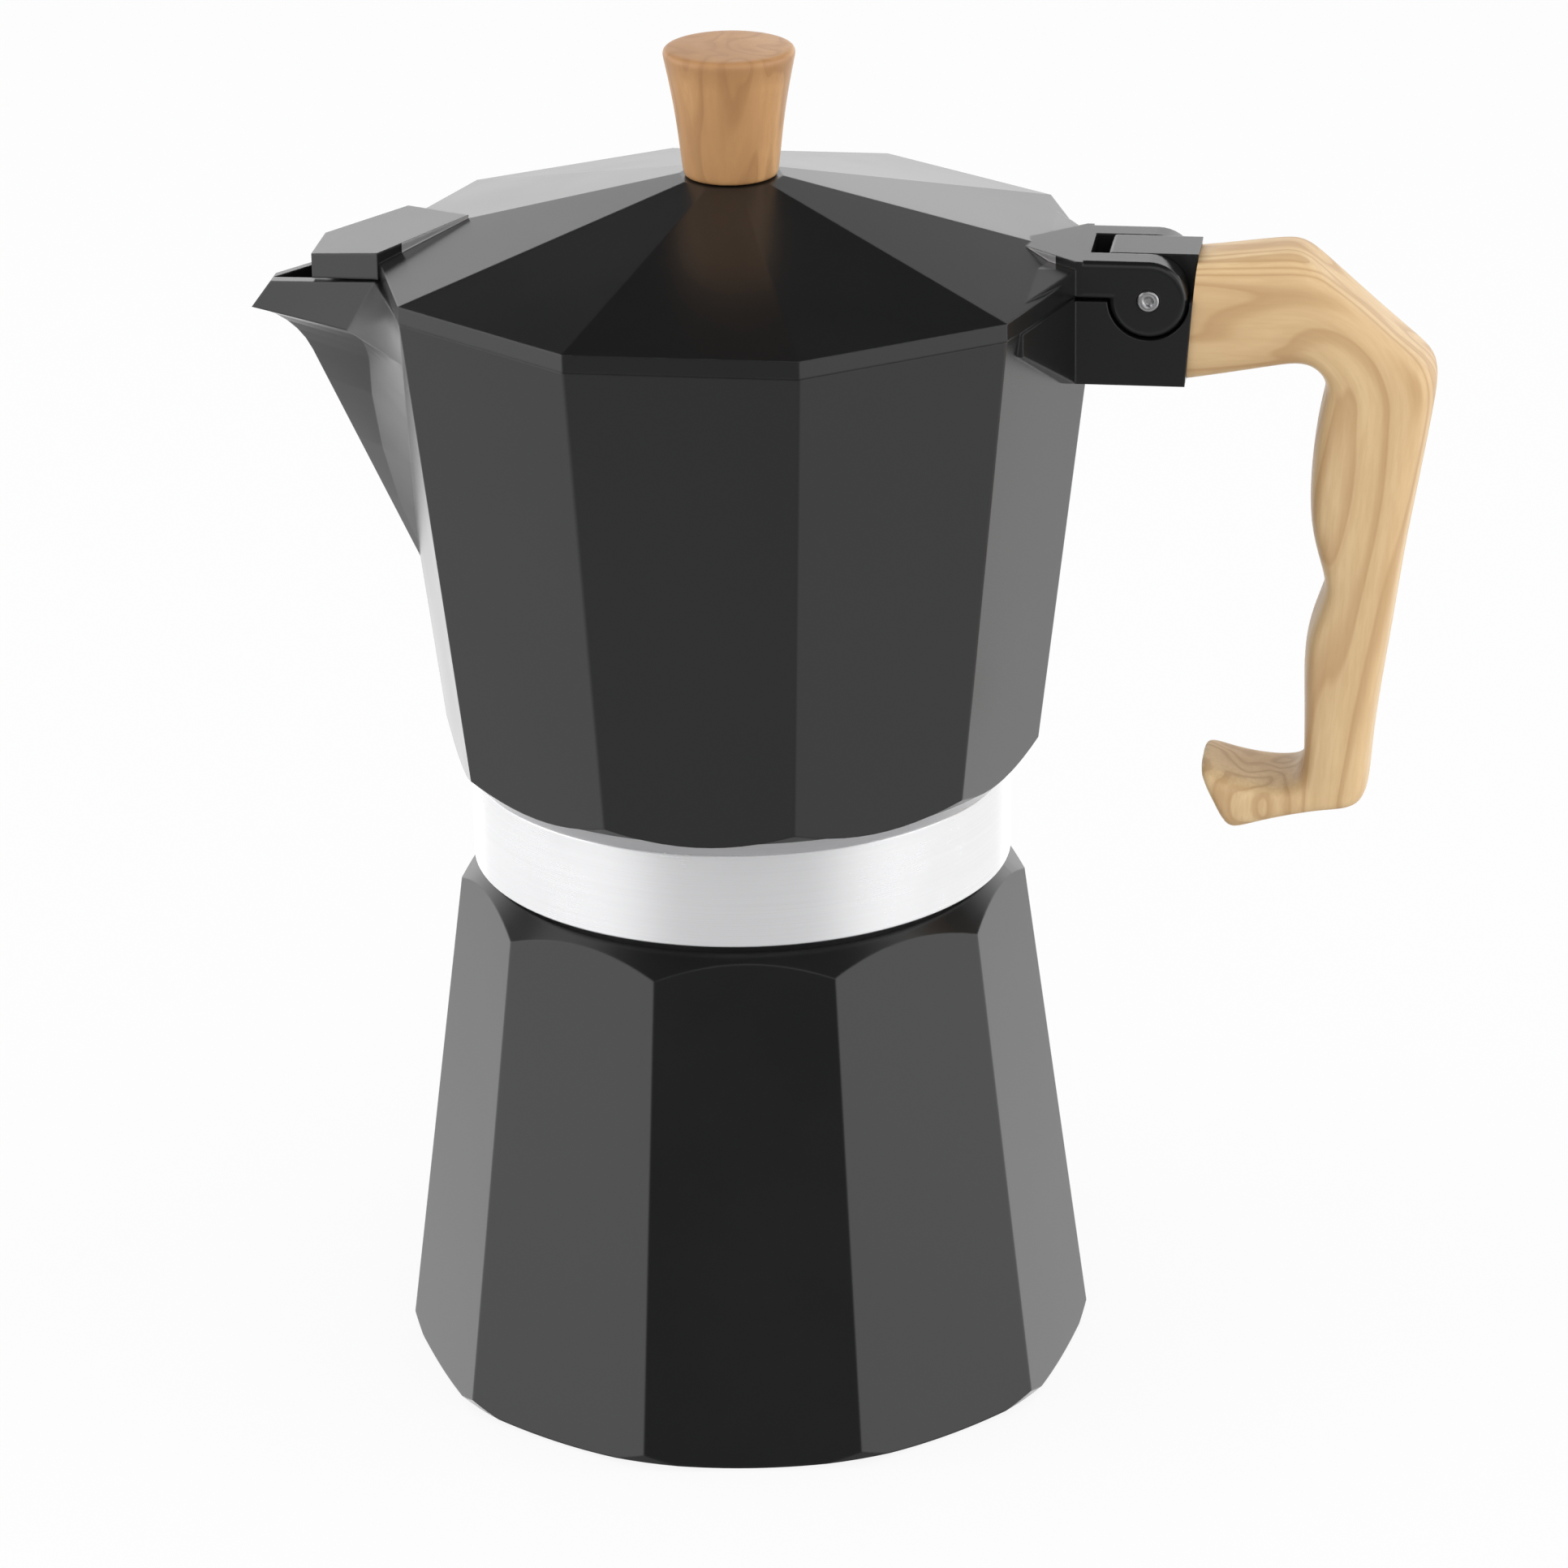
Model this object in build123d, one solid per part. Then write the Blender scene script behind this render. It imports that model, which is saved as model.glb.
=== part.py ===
from build123d import *
import os
from math import atan, cos, radians, sin

os.makedirs("parts", exist_ok=True)

# Stove-top espresso pot, millimetres, +Z up. Origin: pot axis at the base plane.
# +X is the handle side, -X the spout. The pot has ten flat sides; the vessel has a
# corner on +X, and the boiler stands turned by boiler_turn when screwed tight.

# ---- driving dimensions -------------------------------------------------------
sides = 10
boiler_turn = 8.325       # how far the boiler's corners lie past the vessel's
edge_round = 0.7          # rounding of the cast edges between facets

boiler_foot_r = 52.0      # corner radius at the foot
boiler_top_r = 42.5       # corner radius where the facets end
boiler_top_z = 75.2
boiler_foot_z = 3.0       # height of the turned foot edge
boiler_foot_cut = 3.4     # how far the base circle lies inside the corners
boiler_wall = 2.8
boiler_floor = 3.2
shoulder_rise = 3.7       # height of the turned cone over the facets
floor_round = 5.0         # turned slope where the boiler's wall meets its floor
neck_high = 9.7           # above the cone
neck_wall = 3.0

thread_depth = 1.2        # the threads are left plain, but the collar's bore allows for them
thread_gap = 0.4

band_r = 40.3             # bright band pressed on the vessel's collar
band_wall = 0.8
band_lift = 1.4           # the band hangs this far above the boiler's cone
collar_wall = 2.58
press_gap = 0.02          # between pieces pressed or screwed together

vessel_rim_r = 53.5       # corner radius at the rim
vessel_rim_z = 170.7
vessel_foot_r = 44.18     # corner radius level with the band's top edge
vessel_wall = 2.5
undercut_rise = 4.7       # height of the cone between band and facets
vessel_floor = 4.2
collector_depth = 1.8     # hollow above the filter plate

funnel_sheet = 0.8
basket_depth = 22.0
basket_gap = 0.5          # basket to neck bore
basket_cone = 7.0         # height of the cone under the sieve
stem_r = 4.6
stem_low_z = 8.5          # the stem ends this far above the base plane
flange_inset = 0.7        # the funnel's flange is this much smaller than the neck
sieve_hole_r = 0.9

gasket_inset = 0.3
gasket_lap = 4.8          # how far the gasket reaches inside the neck's bore
gasket_thick = 3.0
filter_thick = 0.8
filter_hole_r = 0.7

riser_drop = 17.7         # the column ends this far below the rim
riser_top_r = 4.6
riser_foot_r = 7.2
riser_bore_r = 2.6
riser_seat_r = 6.0
riser_port_r = 1.9

# spout, hinge, lid and handle are placed from the rim: x from its corner, z from its height
keel_foot_z = vessel_rim_z - 45.7       # the spout's keel leaves the corner here
keel_lean = 0.47          # sideways travel per millimetre of height
keel_bend_z = vessel_rim_z - 14.4       # the keel starts to curl outwards here
keel_bend_r = 10.9
keel_bend_end = 85.0      # direction of the last radius of the curl, degrees
keel_root = 8.0           # the loft starts this far below the foot, inside the wall
keel_step = 9.0
spout_pinch = 3.0         # how late the sides pull in towards the beak's shoulders
spout_shoulder_x = vessel_rim_r - 2.9   # where the narrow beak starts at the rim ...
spout_shoulder_y = 12.2   # ... and its half width there
spout_wall = 1.8
spout_back_x = 14.0       # the spout's loft starts this far from the axis, inside the vessel
lip_drop_x = vessel_rim_r + 14.8        # the rim slopes down to here, then the lip is cut steeply
lip_drop_z = vessel_rim_z - 3.5

pin_x = vessel_rim_r + 7.8
pin_z = vessel_rim_z - 0.5
pin_r = 1.6
pin_proud = 0.35
pin_run = 0.05            # running clearance of the pin in the lid's cheeks
hinge_half = 9.45         # half width of the hinge block
core_half = 4.4
hinge_gap = 0.3           # between the lid's cheeks and the lug
cheek_r = 5.6
cheek_round = 0.9
hinge_top_z = pin_z + cheek_r
lug_low_z = vessel_rim_z - 13.2
lug_end_low_x = vessel_rim_r + 13.1     # the handle butts against this sloping face
lug_end_top_x = vessel_rim_r + 14.6
bridge_out_x = vessel_rim_r - 2.6
bridge_in_x = vessel_rim_r - 0.9
core_start_x = vessel_rim_r + 1.6
core_corner_r = 0.6
gusset_y = vessel_rim_r / 2 + 0.25      # how far the lug's root spreads along the rim
gusset_z = vessel_rim_z - 3.1

tang_half = 3.5
tang_low_z = vessel_rim_z - 7.7
tang_top_z = vessel_rim_z + 0.8
tang_end_x = vessel_rim_r + 26.5
tang_gap = 0.15
handle_half = 8.8
handle_round = 2.5
handle_screw_x = vessel_rim_r + 20.1
handle_screw_r = 2.0
screw_head_r = 3.6
screw_head_high = 2.2
screw_slot = 1.0
screw_slot_deep = 0.8
screw_sink = 3.6          # counterbore under the handle

lid_r = vessel_rim_r + 0.1
lid_rim_high = 2.65
lid_peak_r = 7.6
lid_peak_z = vessel_rim_z + 14.0
lid_wall = 1.8
boss_low = 9.0            # the boss under the peak reaches down this far
boss_r = 6.4
cover_apex_x = vessel_rim_r - 14.7      # the flat cover over the spout starts here on the lid
cover_apex_z = vessel_rim_z + 6.8
cover_slope = 0.218
cover_root_x = vessel_rim_r - 3.4
cover_root_y = 12.0
cover_end_x = vessel_rim_r + 7.8
cover_end_y = 5.2
cover_wall = 1.4
cover_rest = 0.3          # cover's skirt above the spout's rim

knob_foot_r = 6.6
knob_waist_r = 6.9
knob_top_r = 9.6
knob_high = 18.8
knob_round = 1.6
insert_r = 3.2
insert_high = 9.0
knob_screw_r = 2.0
knob_washer_r = 5.0
knob_washer_thick = 0.8
screw_play = 0.1          # plain holes round screws and stems

valve_turn = 98.325       # the boiler facet that carries the safety valve
valve_z = 54.0
valve_washer_thick = 1.0
valve_washer_r = 6.6
valve_shank_r = 4.0
valve_shank_long = 5.5
valve_hex = 11.0          # across flats
valve_hex_high = 3.5
valve_nose_r = 4.4
valve_nose_end = 8.0
valve_chamber_r = 2.8
valve_seat_r = 1.4
valve_seat_thick = 1.5
valve_stem_r = 0.9
valve_stem_end = 9.6
valve_head_r = 2.4
valve_head_thick = 1.5
valve_cap_thick = 1.3
valve_wire_r = 0.3
valve_coils = 6

# ---- what follows from them ---------------------------------------------------
half_angle = radians(180 / sides)
boiler_flare = (boiler_foot_r - boiler_top_r) / (boiler_top_z - boiler_foot_z)
shoulder_z = boiler_top_z + shoulder_rise
neck_top_z = shoulder_z + neck_high
collar_r = band_r - band_wall - press_gap
collar_bore_r = collar_r - collar_wall
neck_r = collar_bore_r - thread_depth - thread_gap
neck_bore_r = neck_r - neck_wall
flange_r = neck_r - flange_inset
gasket_r = neck_r - gasket_inset
gasket_bore_r = neck_bore_r - gasket_lap
gasket_low_z = neck_top_z + funnel_sheet
vessel_floor_low = gasket_low_z + gasket_thick + filter_thick
vessel_floor_top = vessel_floor_low + vessel_floor
band_low_z = shoulder_z + band_lift
band_top_z = vessel_floor_low + 1.5
vessel_flare = (vessel_rim_r - vessel_foot_r) / (vessel_rim_z - band_top_z)
riser_top_z = vessel_rim_z - riser_drop
keel_foot_x = vessel_rim_r - (vessel_rim_z - keel_foot_z) * vessel_flare + 0.2


# ---- shared shapes ------------------------------------------------------------


def decagon(z, corner_r, turn=0.0):
    return Pos(0, 0, z) * RegularPolygon(corner_r, sides, rotation=turn)


def facets(low_z, low_r, top_z, top_r, turn=0.0, rounding=0.0, sharp_x=None):
    """A straight ten-sided frustum with rounded upright edges, but none between two x."""
    body = loft([decagon(low_z, low_r, turn), decagon(top_z, top_r, turn)], ruled=True)
    if rounding:
        upright = [e for e in body.edges() if abs(e.tangent_at(0.5).Z) > 0.15]
        if sharp_x:
            upright = [e for e in upright if not sharp_x[0] < e.center().X < sharp_x[1]]
        body = fillet(upright, rounding)
    return body


def turned(points):
    """A body of revolution about Z from (radius, height) points."""
    return revolve(Plane.XZ * make_face(Polyline(*points, close=True)), Axis.Z)


def slab(points, half_width):
    """An outline in (x, z), as thick as two half widths along Y."""
    return extrude(Plane.XZ * make_face(Polyline(*points, close=True)), half_width, both=True)


def plan(points, low_z, top_z):
    """An outline in (x, y) between two heights."""
    return extrude(Pos(0, 0, low_z) * make_face(Polyline(*points, close=True)), top_z - low_z)


def mirrored(half):
    """Closes a half outline, listed outwards from the X axis, with its mirror image."""
    return half + [(x, -y) for x, y in reversed(half) if abs(y) > 1e-6]


def rod(radius, start, end):
    """A cylinder between two points."""
    axis = Vector(*end) - Vector(*start)
    return Plane(origin=start, z_dir=axis) * Cylinder(
        radius, axis.length, align=(Align.CENTER, Align.CENTER, Align.MIN))


def hole_grid(radius, reach, step, low_z, thick):
    """Round holes in rings about the axis, all the way through a plate."""
    spots = []
    for ring in range(1, int(reach / step) + 1):
        count = 6 * ring
        for i in range(count):
            angle = 2 * 180 * i / count + 7 * ring
            spots.append((ring * step * cos(radians(angle)), ring * step * sin(radians(angle))))
    return Pos(0, 0, low_z) * extrude(Sketch() + [Pos(x, y) * Circle(radius) for x, y in spots], thick)


def vessel_r(z):
    return vessel_rim_r - (vessel_rim_z - z) * vessel_flare


# ---- boiler -------------------------------------------------------------------
def boiler():
    cut_r = boiler_foot_r - boiler_foot_cut
    shoulder_r = boiler_top_r - shoulder_rise
    body = facets(0, boiler_foot_r + boiler_foot_z * boiler_flare, shoulder_z,
                  boiler_top_r - shoulder_rise * boiler_flare, boiler_turn, edge_round)
    body &= turned([(0, 0), (cut_r, 0), (boiler_foot_r - 1.1, boiler_foot_z / 3),
                    (boiler_foot_r + 0.2, boiler_foot_z), (boiler_foot_r + 1, boiler_foot_z + 4),
                    (boiler_top_r + 1, boiler_top_z - 1), (shoulder_r, shoulder_z),
                    (0, shoulder_z)])
    body += turned([(0, shoulder_z - 2), (neck_r, shoulder_z - 2), (neck_r, neck_top_z),
                    (0, neck_top_z)])
    flat = cos(half_angle)
    low_r = boiler_foot_r * flat - boiler_wall
    high_r = boiler_top_r * flat - boiler_wall
    body -= turned([(0, boiler_floor), (low_r - floor_round, boiler_floor),
                    (low_r, boiler_floor + floor_round),
                    (high_r, boiler_top_z - 5), (neck_bore_r, boiler_top_z + 1),
                    (neck_bore_r, neck_top_z + 1), (0, neck_top_z + 1)])
    body -= valve_place() * Pos(0, 0, -2 * boiler_wall) * Cylinder(
        valve_shank_r + press_gap, 4 * boiler_wall)
    return body


# ---- safety valve, built along +Z from the facet's outer face ------------------
def valve_place():
    """The facet's outward normal at the valve's height."""
    flat = cos(half_angle)
    out = boiler_foot_r * flat - (valve_z - boiler_foot_z) * boiler_flare * flat
    turn = radians(valve_turn)
    lean = boiler_flare * flat
    return Plane(origin=(out * cos(turn), out * sin(turn), valve_z),
                 x_dir=(-sin(turn), cos(turn), 0), z_dir=(cos(turn), sin(turn), lean))


def valve_washer():
    ring = Circle(valve_washer_r) - Circle(valve_shank_r + press_gap)
    return valve_place() * extrude(ring, valve_washer_thick)


def valve_body():
    hex_start = valve_washer_thick
    hex_end = hex_start + valve_hex_high
    body = Pos(0, 0, hex_start) * extrude(
        RegularPolygon(valve_hex / 2, 6, major_radius=False), valve_hex_high)
    body += turned([(0, -valve_shank_long), (valve_shank_r, -valve_shank_long),
                    (valve_shank_r, hex_start), (valve_nose_r, hex_start),
                    (valve_nose_r, valve_nose_end - 0.5), (valve_nose_r - 0.5, valve_nose_end),
                    (0, valve_nose_end)])
    seat_top = -valve_shank_long + valve_seat_thick
    body -= turned([(0, -valve_shank_long), (valve_seat_r, -valve_shank_long),
                    (valve_seat_r, seat_top), (valve_chamber_r, seat_top),
                    (valve_chamber_r, valve_nose_end), (0, valve_nose_end)])
    body = chamfer(body.edges().filter_by(GeomType.LINE).filter_by(Axis.Z)
                   .filter_by(lambda e: e.length > valve_hex_high - 0.01), 0.4)
    return valve_place() * body


def valve_plunger():
    seat_top = -valve_shank_long + valve_seat_thick
    head_end = seat_top + 0.1 + valve_head_thick
    stem = turned([(0, seat_top + 0.1), (valve_head_r, seat_top + 0.1), (valve_head_r, head_end),
                   (valve_stem_r, head_end), (valve_stem_r, valve_stem_end - 0.3),
                   (valve_stem_r - 0.3, valve_stem_end), (0, valve_stem_end)])
    return valve_place() * stem


def valve_spring():
    low = -valve_shank_long + valve_seat_thick + 0.1 + valve_head_thick + valve_wire_r + 0.1
    high = valve_nose_end - valve_cap_thick - valve_wire_r - 0.1
    coil_r = (valve_stem_r + valve_chamber_r) / 2
    path = Helix((high - low) / valve_coils, high - low, coil_r)
    wire = Plane(origin=path @ 0, z_dir=path % 0) * Circle(valve_wire_r)
    return valve_place() * Pos(0, 0, low) * sweep(wire, path, is_frenet=True)


def valve_cap():
    ring = Circle(valve_chamber_r - press_gap) - Circle(valve_stem_r + screw_play)
    return valve_place() * Pos(0, 0, valve_nose_end - valve_cap_thick) * extrude(
        ring, valve_cap_thick)


# ---- coffee funnel ------------------------------------------------------------
basket_r = neck_bore_r - basket_gap
basket_low_z = neck_top_z - basket_depth


def funnel():
    low = basket_low_z - basket_cone
    t = funnel_sheet
    return turned([
        (flange_r, neck_top_z), (flange_r, neck_top_z + t), (basket_r - t, neck_top_z + t),
        (basket_r - t, basket_low_z), (stem_r - t, low), (stem_r - t, stem_low_z),
        (stem_r, stem_low_z), (stem_r, low - t), (basket_r, basket_low_z - t),
        (basket_r, neck_top_z)])


def basket_sieve():
    plate_r = basket_r - funnel_sheet - press_gap
    plate = Pos(0, 0, basket_low_z) * extrude(Circle(plate_r), funnel_sheet)
    return plate - hole_grid(sieve_hole_r, plate_r - 3, 4.4, basket_low_z, funnel_sheet)


# ---- seals --------------------------------------------------------------------
def gasket():
    ring = Circle(gasket_r) - Circle(gasket_bore_r)
    return Pos(0, 0, gasket_low_z) * extrude(ring, gasket_thick)


def filter_plate():
    low = gasket_low_z + gasket_thick
    plate = Pos(0, 0, low) * extrude(Circle(gasket_r - 0.4), filter_thick)
    return plate - hole_grid(filter_hole_r, gasket_bore_r - 3, 3.8, low, filter_thick)


# ---- upper vessel -------------------------------------------------------------
def vessel_shell():
    low_z = band_top_z - 1
    spout_edges = (-0.9 * vessel_rim_r, -0.5 * vessel_rim_r)      # the spout's sides end on these
    body = facets(low_z, vessel_r(low_z), vessel_rim_z, vessel_rim_r, 0, edge_round, spout_edges)
    wide = vessel_rim_r + 5
    body &= turned([(0, low_z), (collar_r, low_z), (collar_r, band_top_z), (band_r, band_top_z),
                    (band_r + undercut_rise, band_top_z + undercut_rise),
                    (wide, band_top_z + undercut_rise + 9), (wide, vessel_rim_z), (0, vessel_rim_z)])
    body += turned([(0, band_low_z + 0.3), (collar_r, band_low_z + 0.3), (collar_r, band_top_z),
                    (0, band_top_z)])
    return body


def vessel_cavity():
    inner = vessel_wall / cos(half_angle)
    floor_r = band_r - 1.2
    room = facets(vessel_floor_top, vessel_r(vessel_floor_top) - inner,
                  vessel_rim_z + 1, vessel_r(vessel_rim_z + 1) - inner)
    return room & turned([(0, vessel_floor_top), (floor_r, vessel_floor_top),
                          (floor_r + 3, vessel_floor_top + 3), (vessel_rim_r, vessel_floor_top + 20),
                          (vessel_rim_r, vessel_rim_z + 2), (0, vessel_rim_z + 2)])


def keel_points():
    """Spout keel as (x, z), upwards: a straight lean, a curl outwards, then the beak's front."""
    lean = atan(keel_lean)
    bend_x = -keel_foot_x - (keel_bend_z - keel_foot_z) * keel_lean
    centre_x = bend_x - keel_bend_r * cos(lean)
    centre_z = keel_bend_z - keel_bend_r * sin(lean)
    points = []
    for z in (keel_foot_z - keel_root, *(keel_foot_z + keel_step * i for i in (1, 2, 3))):
        points.append((-keel_foot_x - (z - keel_foot_z) * keel_lean, z))
    steps = 6
    for i in range(steps + 1):
        angle = lean + (radians(keel_bend_end) - lean) * i / steps
        points.append((centre_x + keel_bend_r * cos(angle), centre_z + keel_bend_r * sin(angle)))
    tip_x = points[-1][0]
    return points + [(tip_x, vessel_rim_z)]


def spout_section(keel_x, z):
    """Half outline of the spout at one height: keel, beak shoulder, side's end, back.
    The side ends on the vessel's first facet, from the keel's foot up to the rim's corner."""
    side = 2 * half_angle
    rise = max((z - keel_foot_z) / (vessel_rim_z - keel_foot_z), 0.02)
    r = vessel_r(max(z, keel_foot_z))
    root = max(keel_foot_z - z, 0) * keel_lean
    end = (root - r + rise * r * (1 - cos(side)), rise * r * sin(side))
    share = spout_shoulder_y / (vessel_rim_r * sin(side))
    straight = (keel_x + (end[0] - keel_x) * share, end[1] * share)
    pinch = rise ** spout_pinch
    rim_end = (-vessel_rim_r * cos(side), vessel_rim_r * sin(side))
    tip_x = keel_points()[-1][0]
    shift = -spout_shoulder_x - (tip_x + (rim_end[0] - tip_x) * share)
    middle = (straight[0] + shift * pinch, straight[1])
    return [(keel_x, 0), middle, end, (-spout_back_x, end[1])]


def spout(inset=0.0):
    """The spout's outer body, or with an inset the channel inside it."""
    sections = []
    for keel_x, z in keel_points()[1 if inset else 0:]:
        outline = make_face(Polyline(*mirrored(spout_section(keel_x, z)), close=True))
        if inset:
            outline = offset(outline, -inset, kind=Kind.INTERSECTION)
        sections.append(Pos(0, 0, z + inset) * outline)
    return loft(sections, ruled=True)


def above_rim():
    """What is cut off over the rim: flat, then sloping to the beak, then down its front."""
    points = keel_points()
    tip = points[-2]
    run = (tip[0] + lip_drop_x, tip[1] - lip_drop_z)
    past = (tip[0] + run[0], tip[1] + run[1])
    top = vessel_rim_z + 12
    return slab([(vessel_rim_r + 20, vessel_rim_z), (-spout_shoulder_x, vessel_rim_z),
                 (-lip_drop_x, lip_drop_z), tip, past, (past[0] - 20, past[1]),
                 (past[0] - 20, top), (vessel_rim_r + 20, top)], vessel_rim_r)


def lug_end(z):
    rise = (z - lug_low_z) / (hinge_top_z - lug_low_z)
    return lug_end_low_x + (lug_end_top_x - lug_end_low_x) * rise


def lug_block():
    """The full-width block under the hinge, with its root spread along the rim."""
    inside = vessel_rim_r - 12
    block = slab([(inside, lug_low_z), (lug_end(lug_low_z), lug_low_z),
                  (lug_end(pin_z), pin_z), (inside, pin_z)], hinge_half)
    root = plan(mirrored([(bridge_out_x, 0), (bridge_out_x, hinge_half),
                          (vessel_rim_r * cos(radians(30)) - 1.2, gusset_y),
                          (inside - 6, gusset_y)]), lug_low_z, vessel_rim_z)
    top = vessel_rim_z - hinge_gap
    root &= extrude(Plane.YZ * make_face(Polyline(
        (-gusset_y - 1, gusset_z), (-hinge_half, lug_low_z), (hinge_half, lug_low_z),
        (gusset_y + 1, gusset_z), (gusset_y + 1, top), (-gusset_y - 1, top), close=True)),
        3 * vessel_rim_r, both=True)
    return block + root


def hinge_core():
    """The upright tongue between the lid's cheeks."""
    low_z = pin_z - cheek_r - 1
    core = slab([(core_start_x, low_z), (lug_end(low_z), low_z),
                 (lug_end(hinge_top_z), hinge_top_z), (core_start_x, hinge_top_z)], core_half)
    corner = core.edges().filter_by(Axis.Y).sort_by(Axis.X)[:2].sort_by(Axis.Z)[-1]
    return fillet(corner, core_corner_r)


def hinge_space():
    """What the cheeks and their bridge sweep beside and in front of the core."""
    low_x, low_z, top_z = bridge_out_x - hinge_gap, pin_z - hinge_gap, hinge_top_z + 20
    ahead = slab([(low_x, low_z), (pin_x, low_z), (pin_x, top_z), (low_x, top_z)],
                 hinge_half + hinge_gap)
    around = Pos(pin_x, 0, pin_z) * Rot(90, 0, 0) * Cylinder(cheek_r + hinge_gap, 4 * hinge_half)
    return ahead + around


def tang():
    """The tongue that the handle slides over."""
    return slab([(lug_end_low_x - 2, tang_low_z), (tang_end_x, tang_low_z),
                 (tang_end_x, tang_top_z - 1.5), (tang_end_x - 1.5, tang_top_z),
                 (lug_end_low_x - 2, tang_top_z)], tang_half)


def vessel():
    body = vessel_shell() + (spout() - above_rim()) + lug_block() - hinge_space()
    body += hinge_core() + tang()
    body -= vessel_cavity()
    body -= spout(spout_wall)
    body -= turned([(0, 0), (collar_bore_r, 0), (collar_bore_r, gasket_low_z),
                    (gasket_r, gasket_low_z), (gasket_r, vessel_floor_low),
                    (gasket_bore_r, vessel_floor_low),
                    (riser_seat_r, vessel_floor_low + collector_depth),
                    (0, vessel_floor_low + collector_depth)])
    body -= Pos(0, 0, vessel_floor_low) * Cylinder(riser_seat_r + press_gap, 30)
    body -= rod(pin_r + press_gap, (pin_x, -2 * hinge_half, pin_z), (pin_x, 2 * hinge_half, pin_z))
    body -= rod(handle_screw_r + press_gap, (handle_screw_x, 0, tang_low_z - 1),
                (handle_screw_x, 0, tang_top_z + 1))
    return body


def riser_column():
    foot = vessel_floor_low + collector_depth
    body = turned([(0, foot), (riser_seat_r, foot), (riser_seat_r, vessel_floor_top),
                   (riser_foot_r, vessel_floor_top), (riser_foot_r - 1, vessel_floor_top + 3),
                   (riser_top_r, riser_top_z - 2), (riser_top_r - 2, riser_top_z),
                   (0, riser_top_z)])
    body -= turned([(0, foot), (riser_bore_r + 1, foot), (riser_bore_r, foot + 8),
                    (riser_bore_r, riser_top_z - 5), (0, riser_top_z - 4)])
    for side in (-1, 1):
        body -= rod(riser_port_r, (0, 0, riser_top_z - 7), (0, side * 12, riser_top_z - 4.5))
    return body


def neck_band():
    ring = Circle(band_r) - Circle(band_r - band_wall)
    band = Pos(0, 0, band_low_z) * extrude(ring, band_top_z - band_low_z)
    return chamfer(band.edges().filter_by(GeomType.CIRCLE).sort_by(SortBy.RADIUS)[-2:], 0.2)


def hinge_pin():
    end = hinge_half + pin_proud
    pin = rod(pin_r, (pin_x, -end, pin_z), (pin_x, end, pin_z))
    return fillet(pin.edges().filter_by(GeomType.CIRCLE), 0.3)


# ---- handle -------------------------------------------------------------------
def handle():
    """Side outline as (x, z, corner radius), rounded all along its two rims."""
    wrist_z = lug_low_z - 0.5
    top_z = hinge_top_z - 0.9
    crest_z = hinge_top_z + 0.6
    out, up = vessel_rim_r, vessel_rim_z
    corners = [
        (lug_end(wrist_z), wrist_z, 0), (lug_end(top_z), top_z, 0),
        (out + 28.8, crest_z, 6.5), (out + 39.1, up - 4.8, 30), (out + 49.4, up - 12.0, 5.2),   # knuckle
        (out + 45.1, up - 37.7, 150), (out + 39.9, up - 78.3, 5), (out + 33.0, up - 79.0, 14),  # back
        (out + 20.7, up - 82.7, 3.2), (out + 15.7, up - 73.1, 3.0), (out + 26.0, up - 75.5, 5),  # toe
        (out + 30.7, up - 73.9, 4.2), (out + 30.7, up - 53.1, 14), (out + 33.5, up - 44.3, 8),   # grip
        (out + 31.1, up - 34.7, 14), (out + 31.4, up - 22.7, 20), (out + 33.7, up - 9.9, 4.5)]
    outline = make_face(Plane.XZ * Polyline(*[(x, z) for x, z, r in corners], close=True))
    for x, z, radius in corners:
        if radius:
            spot = Vector(x, 0, z)
            nearest = outline.vertices().sort_by(lambda v: (Vector(v) - spot).length)[0]
            outline = fillet(nearest, radius)
    body = extrude(outline, handle_half, both=True)
    rims = [e for e in body.edges() if abs(abs(e.center().Y) - handle_half) < 1e-3
            and e.center().X > lug_end_top_x + 1]
    body = fillet(rims, handle_round)
    gap = tang_gap
    body -= slab([(lug_end_low_x - 2, tang_low_z - gap), (tang_end_x + gap, tang_low_z - gap),
                  (tang_end_x + gap, tang_top_z + gap), (lug_end_low_x - 2, tang_top_z + gap)],
                 tang_half + gap)
    body -= rod(handle_screw_r + 0.3, (handle_screw_x, 0, lug_low_z - 5),
                (handle_screw_x, 0, tang_low_z))
    body -= rod(screw_head_r + 0.3, (handle_screw_x, 0, lug_low_z - 5),
                (handle_screw_x, 0, handle_screw_seat()))
    return body


def handle_screw_seat():
    """Height of the counterbore that the screw's head sits in."""
    return lug_low_z + screw_sink


def handle_screw():
    seat = handle_screw_seat()
    head = rod(screw_head_r, (handle_screw_x, 0, seat - screw_head_high), (handle_screw_x, 0, seat))
    slot = Pos(handle_screw_x, 0, seat - screw_head_high) * Box(
        2.5 * screw_head_r, screw_slot, 2 * screw_slot_deep)
    shank = rod(handle_screw_r, (handle_screw_x, 0, seat), (handle_screw_x, 0, tang_top_z - 0.5))
    return head - slot + shank


# ---- lid ----------------------------------------------------------------------
def lid_facets(low_z, low_r, rim_z, peak_r, peak_z):
    rim = loft([decagon(low_z, low_r), decagon(rim_z, low_r)], ruled=True)
    return rim + loft([decagon(rim_z, low_r), decagon(peak_z, peak_r)], ruled=True)


def cover_outline(inset=0.0):
    """Plan of the spout cover, from the apex on the lid to its open end."""
    return [(-cover_apex_x - 2.0 * inset, 0), (-cover_root_x - 0.4 * inset, cover_root_y - 1.1 * inset),
            (-cover_end_x, cover_end_y - 1.1 * inset)]


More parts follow.
